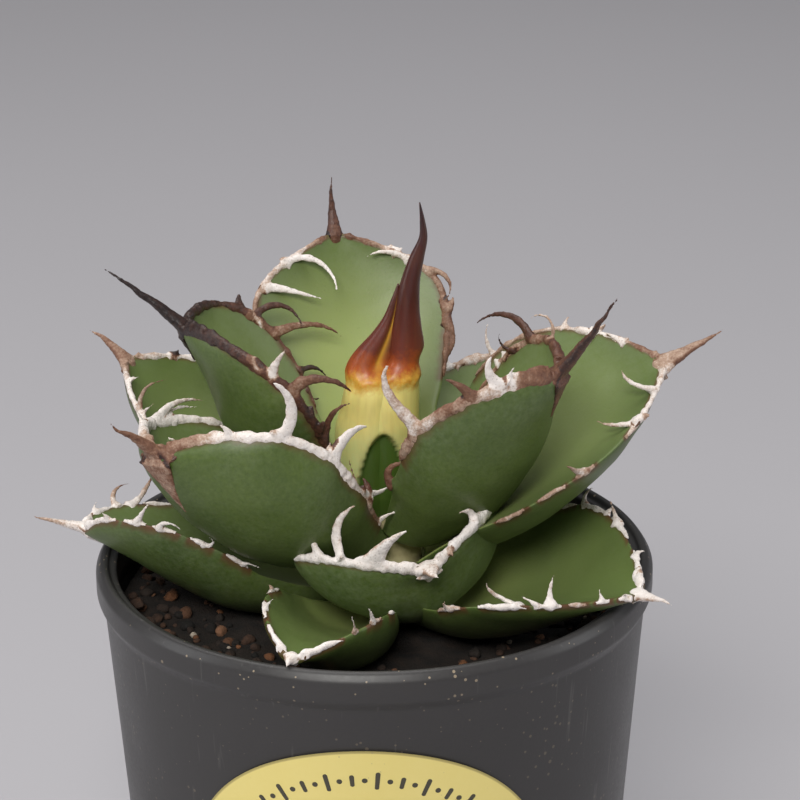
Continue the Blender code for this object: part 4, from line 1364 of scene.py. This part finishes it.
def fuse(name, strands, material):
    """One skin round all the strands, roughened. Each point is stained like the strand nearest to it,
    and more towards the strand's edges."""
    points, faces, centres, stains, across, halves = [], [], [], [], [], []
    for strand in strands:
        add_tube(strand, points, faces)
        centres += list(strand.centres)
        stains += list(strand.stains)
        across += list(strand.wide_ways)
        halves += list(strand.wides)
    obj = mesh_piece(name, points, faces, material)
    skin = obj.modifiers.new("skin", "REMESH")
    skin.mode = "VOXEL"
    skin.voxel_size = VOXEL * MM
    ease = obj.modifiers.new("ease", "SMOOTH")
    ease.factor = 0.5
    ease.iterations = 1
    finished(obj)
    mesh = obj.data
    count = len(mesh.vertices)
    spots = np.empty(count * 3, np.float32)
    mesh.vertices.foreach_get("co", spots)
    ways = np.array([tuple(v.normal) for v in mesh.vertices])
    spots = spots.reshape(-1, 3) / MM
    tree = kdtree.KDTree(len(centres))
    for i, centre in enumerate(centres):
        tree.insert(centre, i)
    tree.balance()
    stained, rough = np.empty(count, np.float32), np.empty(count)
    for i, spot in enumerate(spots):
        near = tree.find_n(spot, 3)
        weights = [1 / (d + 0.15) ** 2 for _, _, d in near]
        nearest = near[0][1]
        off_middle = float((spot - centres[nearest]) @ across[nearest]) / (halves[nearest] + 0.1)
        rimmed = min(0.4, max(0.0, abs(off_middle) - 0.55) ** 1.5)
        rimmed *= EDGE_BROWN if off_middle < 0 else 0.4 * EDGE_BROWN
        stained[i] = sum(w * stains[k] for w, (_, k, _) in zip(weights, near)) / sum(weights) + rimmed
        rough[i] = 0.11 * noise.noise(Vector(spot) / 1.1) + 0.07 * noise.noise(Vector(spot) / 0.5)
    spots = spots + ways * rough[:, None]
    mesh.vertices.foreach_set("co", (spots * MM).astype(np.float32).ravel())
    layer = mesh.attributes.new("stain", "FLOAT", "POINT")
    layer.data.foreach_set("value", stained)
    mesh.shade_smooth()
    return obj


horn = horn_material()
for name, leaf in LEAVES.items():
    strands = spine_strands(name, leaf)
    for side in (LEFT, RIGHT):
        margin, edge = Margin(leaf, side), EDGES[name, side]
        for run in edge.runs:
            strands.append(rim_strand(margin, run, 2.7 * int(name[-2:]) + side))
        strands += [tooth_strand(margin, tooth) for tooth in edge.teeth]
    placed(fuse(f"{name}_horn", strands, horn), "leaf", name)

# ---- Bud ----------------------------------------------------------------------------------------
# The two youngest leaves, still rolled round each other: a slim spear and a grooved blade at its left.
# Both have dark red horn above, a scorched orange collar, and waxy yellow flesh below, with a green
# recess at the front of the foot. They grow from the top of the stem.
BUD_ROUND = 72
BUD_RINGS = 110
BUD_SPEAR = (
    (104.0, 0.0, 0.0, 6.6, 6.6),
    (118.0, 0.2, 0.0, 6.6, 6.6),
    (125.0, 0.5, 0.0, 6.0, 6.0),
    (129.5, 1.2, 0.0, 5.4, 5.0),
    (132.0, 2.6, 0.0, 4.2, 4.2),
    (134.0, 3.6, 0.0, 3.2, 3.2),
    (136.5, 4.2, 0.0, 3.4, 2.8),
    (140.0, 4.3, 0.0, 2.9, 2.5),
    (144.0, 4.5, 0.0, 2.3, 2.3),
    (149.0, 5.1, 0.0, 1.8, 1.9),
    (154.0, 6.4, 0.0, 1.35, 1.4),
    (157.5, 7.5, 0.0, 0.8, 0.9),
    (160.5, 7.4, 0.0, 0.5, 0.55),
    (164.2, 6.9, 0.0, 0.12, 0.12),
)
BUD_LEAF = (
    (104.0, -3.2, -1.0, 6.0, 6.0),
    (118.0, -3.0, -1.0, 6.2, 6.0),
    (125.0, -2.6, -0.9, 5.4, 5.4),
    (128.5, -2.4, -0.8, 4.9, 4.9),
    (131.0, -2.6, -0.7, 4.2, 4.0),
    (133.0, -2.5, -0.6, 4.3, 3.4),
    (136.0, -1.2, -0.5, 3.6, 2.6),
    (139.0, 0.3, -0.5, 2.5, 1.9),
    (142.0, 1.5, -0.3, 1.5, 1.3),
    (145.5, 2.3, -0.2, 0.8, 0.8),
    (148.6, 2.9, 0.0, 0.15, 0.15),
)
RED_DARK = (0.070, 0.016, 0.012)
RED_MID = (0.150, 0.030, 0.018)
SCORCH = (0.42, 0.085, 0.012)
AMBER = (0.66, 0.34, 0.045)
BUD_YELLOW = (0.78, 0.66, 0.22)
BUD_PALE = (0.66, 0.68, 0.30)
HOLLOW_GREEN = (0.060, 0.110, 0.016)
HOLLOW_TOP = 121.5
HOLLOW_HALF = 4.2
HOLLOW_RISE = 6.5
COLLAR = 131.0
GROOVE_LOW, GROOVE_TOP = 131.0, 147.0


def bud_mesh(stations, dent_turn, dent, seed):
    """Level rings through the stations of (height, x, y, half width, half depth), dented on one side,
    with an arched recess at the front of the foot."""
    table = np.array(stations)
    heights = np.linspace(table[0, 0], table[-1, 0], BUD_RINGS)
    points, faces, ages, hollows, stripes = [], [], [], [], []
    for z in heights:
        k = min(len(table) - 2, max(0, int(np.searchsorted(table[:, 0], z, side="right") - 1)))
        s = (z - table[k, 0]) / (table[k + 1, 0] - table[k, 0])
        before, after = table[max(0, k - 1)], table[min(len(table) - 1, k + 2)]
        one, two = table[k], table[k + 1]
        gap = two[0] - one[0]
        slope0 = (two - before) / (two[0] - before[0]) * gap
        slope1 = (after - one) / (after[0] - one[0]) * gap
        here = (2 * s**3 - 3 * s * s + 1) * one + (s**3 - 2 * s * s + s) * slope0
        here = here + (3 * s * s - 2 * s**3) * two + (s**3 - s * s) * slope1
        open_share = max(0.0, min(1.0, (z - GROOVE_LOW) / 3)) * max(0.0, min(1.0, (GROOVE_TOP - z) / 5))
        for i in range(BUD_ROUND):
            a = 2 * math.pi * i / BUD_ROUND
            off = (math.degrees(a) - dent_turn + 180) % 360 - 180
            full = 1 - dent * open_share * math.exp(-((off / 34) ** 2))
            full *= 1 + 0.05 * noise.noise(Vector((math.cos(a) * 1.3, math.sin(a) * 1.3, z / 5 + seed)))
            ragged = COLLAR + 1.3 * noise.noise(Vector((math.cos(a) * 2.6, math.sin(a) * 2.6, seed)))
            full *= 1 + 0.09 * math.exp(-(((z - ragged) / 0.9) ** 2))
            aside = here[1] + here[3] * math.cos(a)
            arch = HOLLOW_TOP - HOLLOW_RISE * (aside / HOLLOW_HALF) ** 2
            inside = max(0.0, min(1.0, (arch - z) / 0.9)) if math.sin(a) < -0.3 else 0.0
            full *= 1 - 0.25 * inside
            wide, deep = max(0.1, here[3]) * full, max(0.1, here[4]) * full
            points.append((PLANT_X + here[1] + wide * math.cos(a), here[2] + deep * math.sin(a), z))
            ages.append(z)
            hollows.append(inside)
            stripes.append(math.exp(-((off / 15) ** 2)) * open_share if dent else 0.0)
    for k in range(BUD_RINGS - 1):
        low, high = k * BUD_ROUND, (k + 1) * BUD_ROUND
        for i in range(BUD_ROUND):
            j = (i + 1) % BUD_ROUND
            faces.append((low + i, low + j, high + j, high + i))
    faces.append(tuple(range(BUD_ROUND))[::-1])
    faces.append(tuple(range(len(points) - BUD_ROUND, len(points))))
    return points, faces, {"height": ages, "hollow": hollows, "stripe": stripes}


def bud_material():
    """Colour by height: pale flesh, yellow, amber, a scorched collar, and dark red horn."""
    made, tree, shader = new_material("bud_skin", IOR=1.5, Subsurface_Weight=0.12, Subsurface_Scale=0.003)
    surface = use_group(tree, grain, Fine=1500.0, Broad=330.0)
    height = attribute(tree, "height")
    jag = math_of(tree, "MULTIPLY", math_of(tree, "SUBTRACT", surface["Tone"], 0.5), 7.0)
    level = spread(tree, math_of(tree, "ADD", height, jag), 116.0, 164.0)
    colour = stops(
        tree, level,
        (0.0, BUD_PALE), (0.16, BUD_YELLOW), (0.26, BUD_YELLOW), (0.31, AMBER), (0.355, SCORCH),
        (0.43, RED_MID), (0.62, RED_DARK), (0.80, (0.060, 0.016, 0.014)), (1.0, (0.022, 0.012, 0.014)),
    )
    streak = add_node(tree, "ShaderNodeMapping", {"Vector": object_place(tree), "Scale": (1.0, 1.0, 0.12)})
    streaks = spread(tree, noise_value(tree, 900.0, 2.0, 0.5, streak.outputs[0]), 0.45, 0.7)
    shaded = blended(tree, math_of(tree, "MULTIPLY", streaks, 0.12), colour, (0.20, 0.08, 0.02))
    striped = blended(tree, attribute(tree, "stripe"), shaded, AMBER)
    greened = blended(tree, attribute(tree, "hollow"), striped, HOLLOW_GREEN)
    tree.links.new(greened, shader["Base Color"])
    tree.links.new(spread(tree, surface["Tone"], 0.3, 0.7, 0.30, 0.44), shader["Roughness"])
    tree.links.new(bump(tree, surface["Height"], 0.25, 0.12), shader["Normal"])
    return made


bud_skin = bud_material()
for piece_name, node_name, stations, dent_turn, dent, seed in (
    ("bud_spear_leaf", "bud_spear", BUD_SPEAR, 200, 0.0, 0.0),
    ("bud_side_leaf", "bud_leaf", BUD_LEAF, 300, 0.42, 5.0),
):
    points, faces, values = bud_mesh(stations, dent_turn, dent, seed)
    placed(mesh_piece(piece_name, points, faces, bud_skin, **values), "bud", node_name)

# ---- Floor --------------------------------------------------------------------------------------
# A plain pale grey sheet of studio paper that the pot stands on. It is no part of the object, and
# lies a hair below the pot's foot.
FLOOR_HALF = 3.0
FLOOR_DROP = 0.2
PAPER_DARK = (0.44, 0.43, 0.455)
PAPER_PALE = (0.46, 0.45, 0.475)


def floor_material():
    made, tree, shader = new_material("studio_paper")
    surface = use_group(tree, grain, Fine=900.0, Broad=5.0)
    tree.links.new(blended(tree, surface["Tone"], PAPER_DARK, PAPER_PALE), shader["Base Color"])
    tree.links.new(spread(tree, surface["Tone"], 0.0, 1.0, 0.8, 0.9), shader["Roughness"])
    return made


sheet_corners = [(-1, -1, 0), (1, -1, 0), (1, 1, 0), (-1, 1, 0)]
floor = mesh_piece("floor", np.array(sheet_corners) * FLOOR_HALF / MM, [(0, 1, 2, 3)], floor_material())
floor.location.z = -FLOOR_DROP * MM

# ---- Studio -------------------------------------------------------------------------------------
# A large soft light overhead, one high in front, one low at each side, and a weak fill from all
# round. Places and sizes here are in metres, and powers in watts.
AIM = (0.0, 0.0, 0.1)


def softbox(name, place, width, height, power, tint):
    data = bpy.data.lights.new(name, "AREA")
    data.shape = "RECTANGLE"
    data.size, data.size_y = width, height
    data.energy = power
    data.color = tint
    obj = bpy.data.objects.new(name, data)
    bpy.context.scene.collection.objects.link(obj)
    obj.location = place
    obj.rotation_euler = (Vector(AIM) - Vector(place)).to_track_quat("-Z", "Y").to_euler()


softbox("overhead", (-0.15, 0.25, 1.15), 0.9, 0.9, 7.0, (1.0, 0.985, 0.96))
softbox("front_box", (-0.20, -0.95, 0.98), 0.6, 0.45, 13.0, (1.0, 0.985, 0.95))
softbox("left_box", (-0.95, -0.15, 0.40), 0.4, 0.8, 2.5, (0.97, 0.985, 1.0))
softbox("right_box", (0.95, -0.05, 0.45), 0.4, 0.8, 2.3, (0.97, 0.985, 1.0))

world = bpy.data.worlds.new("studio")
world.use_nodes = True
world.node_tree.nodes["Background"].inputs["Color"].default_value = (0.92, 0.94, 1.0, 1.0)
world.node_tree.nodes["Background"].inputs["Strength"].default_value = 0.13
bpy.context.scene.world = world
bpy.context.scene.view_settings.view_transform = "Standard"

# ---- Camera -------------------------------------------------------------------------------------
# Looks down on the rosette from in front, at arm's length, through a long lens.
CAMERA_RISE = 21.75
CAMERA_ROLL = -0.436
CAMERA_REACH = 600.0
CAMERA_AIM = (5.064, 0.0, 125.697)
LENS = 145.505

rise, roll = math.radians(CAMERA_RISE), math.radians(CAMERA_ROLL)
right = Vector((1, 0, 0))
up = Vector((0, math.sin(rise), math.cos(rise)))
back = Vector((0, -math.cos(rise), math.sin(rise)))
rolled_right = right * math.cos(roll) + up * math.sin(roll)
rolled_up = up * math.cos(roll) - right * math.sin(roll)
camera_data = bpy.data.cameras.new("camera")
camera_data.lens = LENS
camera_data.sensor_width = 36.0
camera = bpy.data.objects.new("camera", camera_data)
bpy.context.scene.collection.objects.link(camera)
stand = Matrix((rolled_right, rolled_up, back)).transposed().to_4x4()
stand.translation = (Vector(CAMERA_AIM) + back * CAMERA_REACH) * MM
camera.matrix_world = stand
bpy.context.scene.camera = camera
